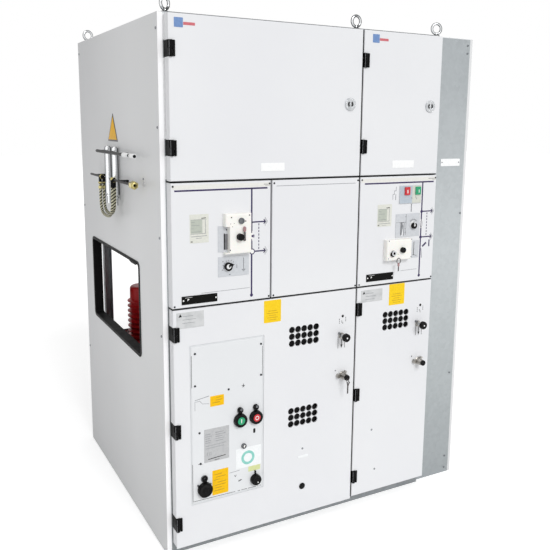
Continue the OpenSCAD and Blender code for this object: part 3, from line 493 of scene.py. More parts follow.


# Edge profile, clipped over the cover's front edge from foot to roof; its near-white coat is partly the
# flange's own pale paint, partly painted light where the flange catches the light
side = on_left("left_side_cover")
wide, _, high = size("left_side_cover")
piece("edge_profile", powder_coat("edge_profile_painted_light_coat", "#fcfcfd", "#f7f7f8"),
      on_front("left_side_cover"), (plate, 0.4, 1, wide - 0.8, high - 2, 1, -0.2, 0.9))
sign_yellow = film("yellow_sign_enamel", "#f6bd00", "#efb400", 0.45, Specular_IOR_Level=0.2)
dark_rim = film("dark_sign_rim", "#2a2620", "#211d18", 0.4)
zinc_screw = bright_metal("zinc_plated_screws", "#8d9094", 0.34, "#63666a")


def triangle(grow):
    """The sign's outline, grown outwards, with its three corners rounded."""
    corners = [(489 - 1.6 * grow, 1468 - grow), (627 + 1.6 * grow, 1468 - grow),
               (552, 1577 + 1.9 * grow)]
    return [(x + (corners[j][0] - x) * t, z + (corners[j][1] - z) * t)
            for i, (x, z) in enumerate(corners)
            for j, t in ((i - 1, 0.05), (i - 1, 0.015), ((i + 1) % 3, 0.015), ((i + 1) % 3, 0.05))]


piece("sign_plate", dark_rim, side,
      (stack, [(triangle(0), -0.2), (triangle(0), 1.0), (triangle(-0.4), 1.2)]))
piece("sign_face", sign_yellow, side,
      (stack, [(triangle(-6.5), 1.0), (triangle(-6.5), 1.35), (triangle(-6.8), 1.45)]))
side_screws = ((12, 1840), (14, 1527), (14, 1161), (15, 819), (1078, 1840), (1078, 1161),
               (1078, 480))
piece("side_screws", zinc_screw, side, *[(screw, y, z, 4.6) for y, z in side_screws],
      (screw, 178, 1347, 4.0))
piece("side_grommet", film("pale_grommet_plastic", "#d9dadc", "#cfd0d2", 0.4), side,
      (turned, 171, 1329, [(10, -0.3), (10, 1.6), (9, 2.2), (5.4, 2.2), (5.0, 0.4)]))

low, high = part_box("right_side_cover")
right_side = lambda y, z, out=0.0: Vector((high[0] + out / 1000, low[1] + y / 1000,
                                           low[2] + z / 1000))
piece("right_cover_screws", zinc_screw, right_side,
      *[(screw, y, z, 5.0) for z in (60, 480, 945, 1410, 1830) for y in (16, 1070)])


# ---- Tools on the left side ----
# Two upright levers of chromed tube stand against the cover. In front of them hang black-
# phosphated bars with bright ferrules; the lower front one ends in a brass hexagon nut.
def chrome_with_painted_reflection(name, colour, rough, rubs_and_painted_sheen, swing, stops, relief):
    """Plated metal with a painted reflection: a bright core, painted darker where it turns away,
    standing in for the dim sides it would mirror.
    """
    made, tree, shader = finish(name, colour, rough, 1.0)
    rim = add(tree, "ShaderNodeLayerWeight", {"Blend": 0.42})
    rub = add(tree, "ShaderNodeTexNoise", rubs_and_painted_sheen)
    edge = add(tree, "ShaderNodeMath", {0: rub.outputs["Fac"], 1: swing, 2: rim.outputs["Facing"]},
               operation="MULTIPLY_ADD")
    colour_by(tree, shader, edge.outputs["Value"], stops)
    grain = add(tree, "ShaderNodeTexNoise", {"Scale": 500.0, "Detail": 2.0})
    bump(tree, shader, grain.outputs["Fac"], relief)
    return made


chrome = bright_metal("chrome_plate", "#d4d6d8", 0.12, "#b9bcbf")
brass = bright_metal("turned_brass", "#cfc48c", 0.26, "#a39660")
# The levers' chrome has painted reflection: bright down the middle, painted dark at the turning edges
coat(chrome_with_painted_reflection("chromed_lever_tube_painted_reflection", "#e2e4e6", 0.2, {"Scale": 60.0, "Detail": 4.0}, 0.16,
                    [(0.2, "#f6f7f8"), (0.4, "#a8abad"), (0.62, "#252728")], 0.00002),
     "tool_hooks")
coat(bright_metal("phosphated_bar_steel", "#222324", 0.45, "#121213"), "operating_levers")
coat(brass, "bar_nut")

low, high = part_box("bar_nut")
nut_axis = ((low[0] + high[0]) / 2, (low[2] + high[2]) / 2)
high_bar = (nut_axis[0] + 0.001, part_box("operating_levers")[1][2] - 0.0075)


def sleeve(mesh, axis, profile):
    """A turned sleeve round a bar whose axis is at (x, z): (y, radius) rings, closed on itself."""
    place = lambda x, y, z: (axis[0] + x / 1000, y / 1000 + foot_corner[1], axis[1] + z / 1000)
    close_over(mesh, [[mesh.verts.new(place(x, y, z)) for x, z in arc(0, 0, r, 0, 360 / 32, 32)]
                      for y, r in profile], True)


satin_nickel = bright_metal("satin_nickel_ferrules", "#f4f5f5", 0.5, "#d9dbdc", 0.3)
piece("bright_ferrules", satin_nickel, high_bar,
      *[(sleeve, [(start, 6), (start, 7.4), (start + 1.5, 8.3), (end - 1.5, 8.3), (end, 7.4),
                  (end, 6)]) for start, end in ((163.5, 210.5), (231.5, 298.5))], slot="chrome")
piece("nut_collars", brass, nut_axis,
      (sleeve, [(167.4, 6), (167.4, 10.6), (165.6, 11.4), (162.5, 10.6), (161.5, 6)]),
      (sleeve, [(192.6, 8), (192.6, 11.8), (195, 12.4), (199, 11.2), (203, 9.4), (203, 8)]),
      slot="brass")
# Ribs pressed round the lugs, and a band that holds the two rear legs of the leads together
mesh = bmesh.new()
for y in (435, 449, 610.5):
    for k in (-4.5, 0, 4.5):
        sleeve(mesh, nut_axis, [(y + k - 1.1, 7.6), (y + k, 9.0), (y + k + 1.1, 7.6)])
plan = lambda x, y, z: Vector((x / 1000 + foot_corner[0], y / 1000 + foot_corner[1], z / 1000))
for foot, top in ((1279, 1290), (1300, 1306)):
    outer, inner = rounded(-50.5, 601, 30, 19, 8), rounded(-49.5, 602, 28, 17, 7)
    stack(mesh, plan, [(inner, foot), (outer, foot + 1), (outer, top - 1), (inner, top)])
put("lug_ribs", mesh, brass)


# ---- Windows ----
# Rings of black moulded rubber, rounded at the corners, hold the sheet's cut edges. The openings
# have no pane, so the poles of the breaker show through.
def moulded(name, colour, rough, grain_mm=0.8, relief=0.00006, **sockets):
    """A moulded plastic or rubber: an even colour under a fine eroded grain."""
    made, tree, shader = finish(name, colour, rough, **sockets)
    spot = add(tree, "ShaderNodeTexCoord").outputs["Object"]
    grain = add(tree, "ShaderNodeTexNoise", {"Vector": spot, "Scale": 1000 / grain_mm / 2,
                                             "Detail": 3.0})
    cloud = add(tree, "ShaderNodeTexNoise", {"Vector": spot, "Scale": 25.0, "Detail": 3.0})
    roughen_by(tree, shader, cloud.outputs["Fac"], rough - 0.05, rough + 0.07, (0.3, 0.7))
    bump(tree, shader, grain.outputs["Fac"], relief)
    return made


rubber = moulded("black_moulded_rubber", "#0c0c0d", 0.6, 1.0, Specular_IOR_Level=0.15)
coat(rubber, "side_window_frame", "rear_window_frame")
rise = size("side_window_frame")[2]
piece("window_catch", rubber, on_left("side_window_frame"),
      (plate, 31, rise - 13.5, 84, 7, 2, -1.5, 2.2), (plate, 41, rise - 17, 64, 6, 2, -3, 1.0),
      slot="black_plastic")


# ---- Lifting eyes ----
# Drop-forged eye bolts in bright zinc, screwed down into the roof through a washer until they
# sit tight, so that each ring stops at its own angle. A forging seam runs round the ring.
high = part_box("roof_plates")[1]
roof = lambda x, y, out=0.0: plan(x, y, 0) + Vector((0, 0, high[2] + out / 1000))
mesh = bmesh.new()
for x, turns in ((39, (30, 12)), (784, (4, 24)), (1170, (-14, 10))):
    for y, turn in zip((35, 1065), turns):
        centre, spin = roof(x, y, 32), math.radians(turn)
        ring = [centre + Vector((math.cos(spin) * u, math.sin(spin) * u, v)) / 1000
                for u, v in arc(0, 0, 19.5, 0, 360 / 56, 57)]
        section = [(u * (0.0049 + 0.0005 * abs(u) ** 12), v * (0.0049 + 0.0005 * abs(u) ** 12))
                   for u, v in arc(0, 0, 1, 0, 15, 24)]
        swept(mesh, ring, lambda run: section)
        turned(mesh, roof, x, y, [(14, 0), (14, 5), (12.5, 7), (8.4, 8), (6.4, 10), (5.6, 15)], 32)
# Passivated zinc with painted reflection: a painted pale glint where the ring faces out, painted nearly
# black at its turning edges
eye_zinc = chrome_with_painted_reflection("passivated_eye_zinc_painted_glint", "#d9dbdc", 0.24,
                          {"Scale": 120.0, "Detail": 3.0}, 0.3,
                          [(0.22, "#e4e6e7"), (0.38, "#616365"), (0.58, "#131415")], 0.00005)
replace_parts(put("forged_eye_bolts", mesh, eye_zinc), "eye_bolts")
washer_zinc = bright_metal("plated_washer_zinc", "#c3c6c9", 0.3, "#8f9498")
piece("eye_washers", washer_zinc, roof,
      *[(turned, x, y, [(19, -0.2), (19, 2.0), (18, 2.6), (14.5, 2.6)])
        for x in (36, 785, 1172) for y in (35, 1065)])
# Grey sealing bead along the roof's front edge
mesh = bmesh.new()
swept(mesh, [roof(x, 1.5, 0.6) for x in (19, 300, 600, 900, 1142)],
      lambda run: arc(0, 0, 0.0019, 0, 30, 12))
put("roof_bead", mesh, film("grey_sealing_bead", "#85888b", "#797c7f", 0.5))


# ---- End bay ----
# A plain galvanised filler strip beside the doors, with screws at its edge and a blank tag.
# The strip's coat is painted duller towards the roof and, most of all, at the foot: painted shade
coat(paint_shade_along(zinc("end_strip_zinc_painted_shade", "#bfc4c6", "#b8bdbf", 0.42),
            Z=[(0.0, "#d2d3d4"), (0.22, "#e6e7e7"), (0.55, "#ffffff"), (0.95, "#e4e5e6")]),
     "end_front")
end = on_front("end_front")
tag_white = film("white_tag_laminate", "#fbfcfc", "#f4f5f5", 0.4)
end_screws = ((178, 1864), (178, 1833), (184, 1178), (172, 470), (169, 77), (169.5, 22))
piece("end_screws", zinc_screw, end, *[(screw, x, z, 4.2) for x, z in end_screws])
piece("end_tag", tag_white, end, (plate, 64, 1378, 102, 30, 2, -0.2, 1.5, 0.3))
piece("end_tag_rivets", zinc_screw, end,
      *[(turned, x, 1393, [(3, 1.4), (3, 1.9), (2, 2.3)], 16) for x in (70, 160)])
# Black rubber fins pushed over the frame's edges fill the joints between doors and covers; their black
# is painted shade that darkens the seams
edge = lambda node, side, axis: (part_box(node)[side][axis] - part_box("frame_hinges")[0][axis]) * 1000
left_x, right_x = edge("lower_door_left", 0, 0), edge("lower_door_right", 1, 0)
mid_x = (edge("lower_door_left", 1, 0) + edge("lower_door_right", 0, 0)) / 2
cover_x = (edge("mimic_cover_left", 1, 0) + edge("blank_cover", 0, 0)) / 2
low_z = (edge("lower_door_left", 1, 2) + edge("blank_cover", 0, 2)) / 2
high_z = (edge("blank_cover", 1, 2) + edge("lv_door_left", 0, 2)) / 2
upright = [(mid_x, edge("lower_door_left", 0, 2)), (mid_x, edge("lv_door_left", 1, 2))]
piece("joint_painted_shade_fins", rubber, on_front("frame_hinges"), *lines(4.4, (-50.6, -13.4), upright),
      *lines(4.4, (-50.6, -22), [(cover_x, low_z + 4), (cover_x, high_z - 4)]),
      *lines(4.4, (-50.6, -13.8), *[[(left_x, z), (right_x, z)] for z in (low_z, high_z)]))


# ---- Relay compartment doors ----
# Two upper doors of folded sheet on black lift-off hinges, each with a blank badge, a blank
# white tag and a chromed cam lock that a double-bit key turns.
black_steel = moulded("black_coated_hinge_steel", "#060607", 0.45, 1.2, 0.00005, IOR=1.4,
                      Specular_IOR_Level=0.12)
# A fine grey line of painted highlight runs down the knuckles, where the two halves turn on each other
rubs_and_painted_sheen = film("hinge_painted_highlight_line", "#9b9da0", "#7d7f82", 0.4)
door_hinges = ("lv_hinges_left", "lv_hinges_right", "lower_hinges_left", "lower_hinges_right")


def paint_knuckle_highlight(mesh, _, hinges, share):
    """A fine line of painted highlight on the lower (share 0) or upper half of each hinge of a door."""
    rise = size(hinges)[2]
    for z in (0, rise / 2 - 25, rise - 50) if hinges.startswith("lower") else (0, rise - 50):
        plate(mesh, on_front(hinges), 1.2, z + 1 + 25 * share, 0.9, 23, 0.3, -4, -1.9, 0.1)


coat(black_steel, "frame_hinges", *door_hinges)
piece("frame_hinges_painted_highlight", rubs_and_painted_sheen, None, *[(paint_knuckle_highlight, hinges, 0) for hinges in door_hinges])
for hinges in door_hinges:
    piece(f"{hinges}_rubbed", rubs_and_painted_sheen, None, (paint_knuckle_highlight, hinges, 1),
          body=hinges.replace("_hinges_", "_door_"))
badge_blue = film("blank_badge_enamel", "#7393c4", "#6787ba", 0.3)
badge_pale = film("blank_badge_strip", "#cf6f76", "#c8656d", 0.3)
# Pale foam strip on the frame behind the left door's hinged edge, left out at the hinges; its pale
# colour is painted light in the shaded gap
top = size("lv_door_left")[2]
piece("relay_door_painted_light_foam", film("pale_gasket_foam_painted_light", "#f0f1f2", "#e8e9ea", 0.7),
      on_front("lv_door_left"), *[(plate, -3.1, foot, 6, end_z - foot, 0.8, -42.3, -37.8)
                                  for foot, end_z in ((4, 80), (136, top - 136), (top - 80, top + 2))])
lock_black = moulded("black_lock_insert", "#0d0d0e", 0.35, 0.8)
for hand, tag_x, tag_w, badge_x in (("left", 329, 93, 20), ("right", 145, 104, 36)):
    body, rosette, cam = (f"lv_{part}_{hand}" for part in ("door", "rosette", "cam"))
    door, lock = on_front(body), on_front(rosette)
    coat(chrome, rosette, cam)
    piece(f"{body}_tag", tag_white, door, (plate, tag_x, 26, tag_w, 28, 2, -0.2, 1.5, 0.3),
          *[(turned, x, 40, [(2.6, 1.4), (2.6, 1.9), (1.8, 2.2)], 16)
            for x in (tag_x + 7, tag_x + tag_w - 7)], body=body)
    top = size(body)[2]
    piece(f"{body}_badge", badge_blue, door, (plate, badge_x, top - 43, 30, 30, 1.5, -0.2, 0.8),
          body=body)
    piece(f"{body}_badge_strip", badge_pale, door,
          (plate, badge_x + 31, top - 35, 40, 9, 1, -0.2, 0.6), body=body)
    # The plug's dished face, with the two flats and the pin that the key grips
    mid = size(rosette)[0] / 2
    piece(f"{cam}_recess", lock_black, lock,
          *[(cut, arc(mid, mid, 12, turn, -116 / 14, 15) + arc(mid, mid, 5.2, turn, -116 / 14, 15)[::-1],
             -1.2, -0.7) for turn in (58, -122)], body=cam, slot="chrome")
    piece(f"{rosette}_knurl", chrome, lock,
          *[(turned, x, z, [(0.75, -0.2), (0.75, 0.3), (0.4, 0.5)], 8)
            for x, z in arc(mid, mid, 20.2, 0, 10, 36)], body=body, slot="chrome")
    piece(f"{cam}_pin", chrome, lock,
          (turned, mid, mid, [(3.2, -1.2), (3.2, 0.3), (2.4, 1.0)], 24),
          (plate, mid - 1.8, mid - 11, 3.6, 22, 1.5, -1.2, 0.1), body=cam, slot="chrome")


# ---- Control covers ----
# Three covers between the doors. The outer two carry a printed single-line diagram in dark
# violet, a data plate ruled without words, a black laminate plate and grey position plates.
ink_violet = film("violet_screen_ink", "#27124f", "#200e45", 0.45)
ink_grey = film("grey_screen_ink", "#8b8d92", "#7f8186", 0.5)
ink_black = film("black_screen_ink", "#131416", "#0e0f10", 0.5, Specular_IOR_Level=0.2)
ink_white = film("white_screen_ink", "#f4f4f2", "#ececea", 0.45)
beige_band = film("beige_printed_band", "#e6e5e0", "#e1e0db", 0.45)
data_plate = film("ivory_data_plate", "#dedfd6", "#d7d8cf", 0.35)
plate_print = film("grey_green_plate_print", "#b9bfb4", "#b3b9ae", 0.4)
laminate = film("black_engraving_laminate", "#060605", "#040403", 0.45, Specular_IOR_Level=0.1)
coat(film("grey_position_plate", "#cdd0d4", "#c6c9ce", 0.36), "mimic_plates")
dark_screw = bright_metal("blackened_slotted_screws", "#46484b", 0.4, "#2a2b2d")
# Prints stand proud by the thickness of their ink, over the bare sheet or over what they cover
on_sheet, on_field, on_dot, on_plate = (-0.1, 0.25), (0.3, 0.5), (0.6, 0.9), (0.7, 0.95)
corner_screws = [(screw, x, z, 3.4) for x, z in ((7, 7), (363, 7), (7, 412), (363, 412))]
for node in ("mimic_cover_left", "mimic_cover_right"):
    cover = on_front(node)
    right = node.endswith("right")
    line = 300 if right else 294
    tip = line + 52
    piece(f"{node}_diagram", ink_violet, cover,
          *lines(5.6, on_sheet, [(20 if right else 12, 397), (355, 397)]),
          *lines(6, on_sheet, [(line, 398), (line, 18)]),
          *lines(4.8, on_sheet, *[[(line, z), (tip, z)] for z in (279, 175)]),
          *lines(3.2, on_sheet, *[[(tip - 5, z + 8), (tip + 2, z), (tip - 5, z - 8)]
                                  for z in (279, 175)],
                 *[[(line + 28, z), (line + 28, z + 7.5)] for z in range(182, 267, 12)]),
          (turned, line, 18, [(6, -0.1), (6, 0.35)], 20),
          *(lines(7.5, on_sheet, [(311, 136), (330, 151)]) if right else ()),
          *(lines(5.5, on_sheet, [(345, 162), (345, 134)]) if right else ()),
          *(lines(2.4, on_sheet, [(305, 128), (309, 90)]) if right else ()))
    # Earth signs and fine rules beside the line, in a paler print
    piece(f"{node}_links", ink_grey, cover,
          *lines(1.7, on_sheet, *[[(tip + 1 + 4 * k, z - reach), (tip + 1 + 4 * k, z + reach)]
                                  for z in (279, 175) for k, reach in enumerate((15, 9.5, 4.5))]),
          *lines(2.0, on_sheet, [(328 if right else 340, 410), (358, 410)]),
          *lines(1.4, on_sheet, [(346, 406), (364, 406)]),
          *lines(1.3, on_sheet, [(206 if right else 104, 45), (286, 46)]))
    piece(f"{node}_band", beige_band, cover, (plate, 4, 402, 362, 14, 0.5, -0.1, 0.15, 0.05))
    # The disconnector's sign on the line: a white field with a cross or a switch blade
    fields = [(plate, line - 6, 213, 12, 34, 2, -0.1, 0.35, 0.05)]
    ends = lines(3.4, on_field, [(line, 211), (line, 219)], [(line, 241), (line, 249)])
    if right:
        sign = [*lines(1.6, on_field, arc(300, 229, 5, 90, -30, 13, 13), [(298, 220), (303, 240)]),
                *[(turned, 300, z, [(6.2, 0.1), (6.2, 0.7)], 20) for z in (175, 279)]]
    else:
        fields += [(turned, 296, 175, [(9.6, 0.1), (9.6, 0.7)]),
                   (turned, 294, 230, [(9.5, 0.1), (9.5, 0.7)])]
        sign = [(turned, 297, 230, [(4.2, 0.6), (4.2, 0.9)], 16),
                *lines(2.6, on_dot, arc(294, 230, 9, 40, -8, 11), arc(294, 230, 9, -140, -8, 11)),
                *lines(3.2, on_dot, arc(296, 175, 9, 90, -20, 19))]
    piece(f"{node}_sign_field", ink_white, cover, *fields)
    piece(f"{node}_sign", ink_violet, cover, *sign, *ends)
    # Data plate: grey fields and ruled lines only
    px, pz, top = (83, 229, 315) if right else (64, 220, 317)
    piece(f"{node}_data_plate", data_plate, cover, (plate, px, pz, 68, top - pz, 2, -0.1, 0.8))
    piece(f"{node}_data_field", plate_print, cover,
          (plate, px + 3, top - 64, 42, 46, 1, 0.7, 0.95, 0.05))
    piece(f"{node}_data_rules", ink_grey, cover,
          *lines(1.3, (0.7, 1.1), [(px + 3, top - 66), (px + 56, top - 66), (px + 56, top - 20)]),
          *lines(1.0, (0.7, 1.1), [(px + 3, top - 18), (px + 60, top - 18)]),
          *lines(1.0, (0.9, 1.15), *[[(px + 6, top - 26 - 11 * k), (px + 6 + w, top - 26 - 11 * k)]
                                     for k, w in enumerate((12, 30, 8, 34))]),
          *lines(1.7, on_plate, [(px + 5, top - 75), (px + 62, top - 74)]),
          *lines(1.3, on_plate, [(px + 22, top - 81), (px + 44, top - 81)]))
    piece(f"{node}_data_marks", ink_black, cover,
          *lines(2.6, on_plate, [(px + 42, top - 14), (px + 58, top - 13)]),
          *lines(3, on_plate, [(px + 3, pz + 5), (px + 10, pz + 5)]))
    # Engraving plate, left blank, on two white-headed rivets
    bx, bz = (39, 15) if right else (32, 11)
    piece(f"{node}_laminate", laminate, cover, (plate, bx, bz, 130, 29, 1.5, -0.1, 1.8, 0.5))
    piece(f"{node}_rivets", ink_white, cover,
          *[(turned, x, bz + 14.5, [(2.8, 1.6), (2.8, 2.1), (1.8, 2.6)], 16)
            for x in (bx + 6, bx + 125)],
          (cut, [(bx + 20, bz + 12), (bx + 28, bz + 19), (bx + 21, bz + 20)], 1.7, 1.95),
          *lines(0.9, (1.7, 1.9), [(bx + 12, bz + 23.5), (bx + 38, bz + 24.5)]))
    piece(f"{node}_screws", dark_screw, cover, *corner_screws)

cover = on_front("blank_cover")
piece("blank_cover_screws", dark_screw, cover, *corner_screws)
piece("blank_cover_rule", ink_grey, cover, *lines(1.7, (-0.1, 0.2), [(16, 402), (352, 402)]))


# ---- Interlock boxes and position plates ----
# Ivory polycarbonate boxes, moulded and screwed on over the operating slots. Each holds a key
# lock and a black locking knob; the grey plates beside them show the switch positions.
ivory = moulded("ivory_polycarbonate", "#f5f3ee", 0.34, 1.4, 0.00005, Subsurface_Weight=0.04)
knob_black = moulded("black_phenolic_knob", "#070707", 0.42, 1.0, IOR=1.4,
                     Specular_IOR_Level=0.2)
key_head = moulded("dusty_rose_key_head", "#a07c7e", 0.4, 1.0)
key_steel = bright_metal("nickelled_key_steel", "#625e5e", 0.3, "#383535")
slot_painted_shadow = film("painted_slot_shadow_film", "#7b7c80", "#6f7074", 0.5)
coat(ivory, "interlock_boxes")
coat(knob_black, "mimic_knobs")
box_screw = [(2.2, 23.8), (2.2, 24.8), (1.4, 25.2)]
# Left box: a grey cylinder above, a key with a pinkish head in the black knob's lock
cover = on_front("mimic_cover_left")
piece("left_box_cylinder", bright_metal("dull_nickel_lock", "#75777a", 0.35, "#4b4d50"), cover,
      (turned, 242.5, 290, [(10.4, 23), (10.4, 30.2), (9.4, 31.2), (7.4, 31.2), (7.0, 30.4)]),
      (turned, 259, 288, [(2.4, 23.8), (2.4, 24.6)], 14), slot="anodised")
piece("left_box_screws", ink_black, cover,
      *[(turned, x, z, box_screw, 14)
        for x, z in ((206, 303), (274, 308), (187.5, 262), (201, 190.5))])
piece("left_box_marks", ink_grey, cover,
      *[(turned, x, z, [(1.5, 23.8), (1.5, 24.3)], 12)
        for x, z in ((203, 281), (216, 282), (210, 271))])
piece("left_key_head", key_head, cover, (cut, rounded(248, 252, 10.5, 18, 4.8), 27.5, 30.5))
piece("left_key_shank", key_steel, cover,
      (cut, [(251, 255), (256.5, 255), (257.5, 222), (253, 222)], 28, 30),
      (turned, 254, 224, [(4.4, 23.5), (4.4, 29), (3.5, 29.6)], 18))
# Painted shadow in the operating slot: a grey film over its floor and a black strip along its left edge
piece("left_slot_shadow", slot_painted_shadow, cover,
      (cut, [(189, 190), (203.5, 190), (203.5, 244), (189, 244)], 1.9, 2.2))
piece("left_slot_edge_painted_shadow", ink_black, cover,
      (cut, [(187, 190), (190, 190), (190, 246), (187, 246)], 1.9, 4.2))
piece("left_slot_guide", bright_metal("slot_guide_steel", "#8f9194", 0.35, "#6f7174"), cover,
      (plate, 201.2, 190.5, 4.2, 52, 1, 1.9, 12))
# Right box: black knob, chromed lock with its key hanging from it
cover = on_front("mimic_cover_right")
piece("right_box_lock", chrome, cover,
      (turned, 147, 125, [(11.5, 23.6), (11.5, 26), (10.8, 27)]),
      (turned, 147, 125, [(10.4, 30), (10.4, 32.6), (9.4, 33.4), (5.6, 33.4), (5, 32)]),
      slot="chrome")
piece("right_box_key", key_steel, cover,
      *lines(2.0, (24.2, 26.2), arc(175, 92, 9, 0, 15, 25, 11)),
      (cut, [(172.5, 82), (177, 82), (176.5, 52), (173, 50)], 24.3, 26.5))
piece("right_box_key_head", key_head, cover, (cut, rounded(170.5, 70, 8, 15, 3.5), 24.2, 27))
piece("right_box_screws", ink_grey, cover,
      *[(turned, x, z, box_screw, 14)
        for x, z in ((126, 104), (236, 104), (126, 174), (236, 174))],
      (turned, 172, 119, [(1.8, 23.8), (1.8, 24.3)], 12))


# ---- Position dials and switch buttons ----
# Indicating dials with printed scales, and a pair of square push buttons: moulded, glossy, red to
# open and green to close.
dial_white = film("dial_face_white", "#eceded", "#e2e3e4", 0.35)
blue_plate = film("blue_grey_button_plate", "#b9c3cc", "#b0bbc5", 0.36)
warm_plate = film("warm_grey_button_plate", "#d3d5cb", "#cbcdc3", 0.36)
on_dial_plate = (1.9, 2.2)
cover = on_front("mimic_cover_left")
piece("left_dial_face", dial_white, cover,
      (turned, 205.5, 127.5, [(15.5, 1.8), (15.5, 2.6), (14.8, 3.0)]))
piece("left_dial_pointer", knob_black, cover,
      *lines(2.2, (2.8, 3.6), arc(205.5, 127.5, 13.5, 95, 20, 14)),
      (cut, [(203, 122), (209, 120), (216, 130), (221, 138), (213, 139), (205, 136)], 2.8, 12.5),
      slot="black_plastic")
piece("left_dial_grip", dial_white, cover,
      (turned, 201.75, 130.75, [(8.6, 11.9), (8.6, 12.4), (8.0, 12.8)]))
piece("left_dial_bar", knob_black, cover,
      (cut, [(203, 127), (214, 138), (211, 144), (200, 135)], 12.5, 14.2), slot="black_plastic")
piece("left_dial_scale", ink_black, cover,
      *lines(1.4, on_dial_plate, [(186, 122.5), (186, 135.5)], [(236, 121.5), (236, 134.5)],
             [(262, 117), (262, 157)]),
      *lines(1.3, on_dial_plate, *zip(arc(206, 128, 21, 20, 24, 7), arc(206, 128, 25, 20, 24, 7)),
             *[[(262 - reach, 115 - 3 * k), (262 + reach, 115 - 3 * k)]
               for k, reach in enumerate((7, 4.5, 2))]),
      *lines(1.8, on_dial_plate, *[[(x - 2.5, z), (x + 2.5, z)]
                                   for x, z in ((183, 148), (182, 119), (209, 101))]))

cover = on_front("mimic_cover_right")
piece("right_dial_face", dial_white, cover,
      (turned, 258.5, 228, [(15, 1.8), (15, 2.4), (14.2, 2.8)]))
piece("right_dial_hub", knob_black, cover,
      (cut, [(247, 224), (249, 218), (259, 215), (269, 219), (271, 225), (262, 229)], 2.6, 12.4),
      slot="black_plastic")
piece("right_dial_pointer", dial_white, cover,
      (cut, [(255, 222), (262, 224), (258, 243)], 2.6, 13.2))
piece("right_plate_scales", ink_black, cover,
      *lines(1.2, on_dial_plate, arc(259, 229, 20, 40, 11, 10),
             *zip(arc(259, 229, 20, 40, 20, 6), arc(259, 229, 24, 40, 20, 6)),
             *[[(217, z), (221, z)] for z in (200, 214, 240, 262)]),
      *lines(1.6, on_dial_plate, [(196, 187), (196, 240), (213, 240), (213, 187)],
             [(262, 106), (282, 102)]),
      *lines(1.0, on_dial_plate, [(222, 190), (222, 272)]),
      *lines(0.9, on_dial_plate, [(172, 240), (194, 240)]),
      *lines(2.4, on_dial_plate, [(266, 158), (266, 106)]))
piece("right_slot_lever", zinc_screw, cover,
      (cut, [(199, 190), (203, 190), (209, 224), (205, 238), (200, 238)], -1.6, 1.0))

# Button plate: two printed halves, a bracketed symbol beside it and a printed drop line below
piece("button_plate_open_half", blue_plate, cover,
      (plate, 185.5, 315.5, 60, 68.5, 1.5, 3.8, 4.3, 0.1))
piece("button_plate_close_half", warm_plate, cover,
      (plate, 246, 315.5, 44, 68.5, 1.5, 3.8, 4.3, 0.1))
bracket = [(154, 332), (154, 352), (161, 352), (161, 366), (169, 366), (169, 382)]
piece("button_plate_signs", ink_grey, cover,
      *lines(4.2, on_sheet, [(247, 312), (247, 280)]), *lines(1.8, on_sheet, bracket),
      *lines(2.6, on_sheet, [(168, 330), (168, 352)]),
      *lines(2.0, (4.2, 4.5), [(262, 341), (268, 330)]),
      *lines(2.4, (4.2, 4.5), [(243, 338), (246, 332)]))


def press_cap(name, colour, shade):
    """A glossy moulded cap in one colour all through."""
    made, tree, shader = finish(name, colour, 0.28, Coat_Weight=0.2)
    spot = add(tree, "ShaderNodeTexCoord").outputs["Object"]
    cloud = add(tree, "ShaderNodeTexNoise", {"Vector": spot, "Scale": 150.0, "Detail": 3.0})
    colour_by(tree, shader, cloud.outputs["Fac"], [(0.3, shade), (0.6, colour)])
    bump(tree, shader, cloud.outputs["Fac"], 0.00005)
    return made


red_cap = press_cap("signal_red_abs", "#d01c28", "#b81520")
green_cap = press_cap("signal_green_abs", "#00a06c", "#008e5e")
for node, cap, bars in (("switch_on_button", green_cap, ((16, 10, 3.4, 12),)),
                        ("switch_off_button", red_cap, ((12, 9, 2.2, 14), (15.5, 9, 2.2, 14)))):
    coat(cap, node)
    piece(f"{node}_mark", ink_white, on_front(node),
          *[(plate, *bar, 0.6, -0.1, 0.3, 0.05) for bar in bars], body=node)


# ---- Breaker front ----
# The withdrawable breaker's powder-coated front, in two screwed plates. It carries capped push
# buttons under padlock eyes, a spring-charging socket, plain labels and a ruled data plate.
mask = on_front("breaker_front")
coat(knob_black, "breaker_controls")
label_yellow = film("yellow_label_film", "#f6c400", "#efb900", 0.45, Specular_IOR_Level=0.25)
label_print = film("amber_label_print", "#b98d0a", "#ad8408", 0.45)
grey_label = film("grey_data_label", "#bfc0c1", "#b5b6b8", 0.3)
white_film = film("white_sticker_film", "#f3f5f6", "#edf0f1", 0.4)
turquoise = film("turquoise_print", "#92d3c9", "#80c7bb", 0.4)
lime_film = film("lime_label_film", "#dae0a4", "#d2d99a", 0.4)
on_mask = (-0.1, 0.15)
mask_screws = ((14, 558), (269.5, 557.5), (13, 441), (270, 440), (141, 407), (28, 264), (31, 147))
piece("breaker_front_screws", dark_screw, mask, *[(screw, x, z, 4.0) for x, z in mask_screws])
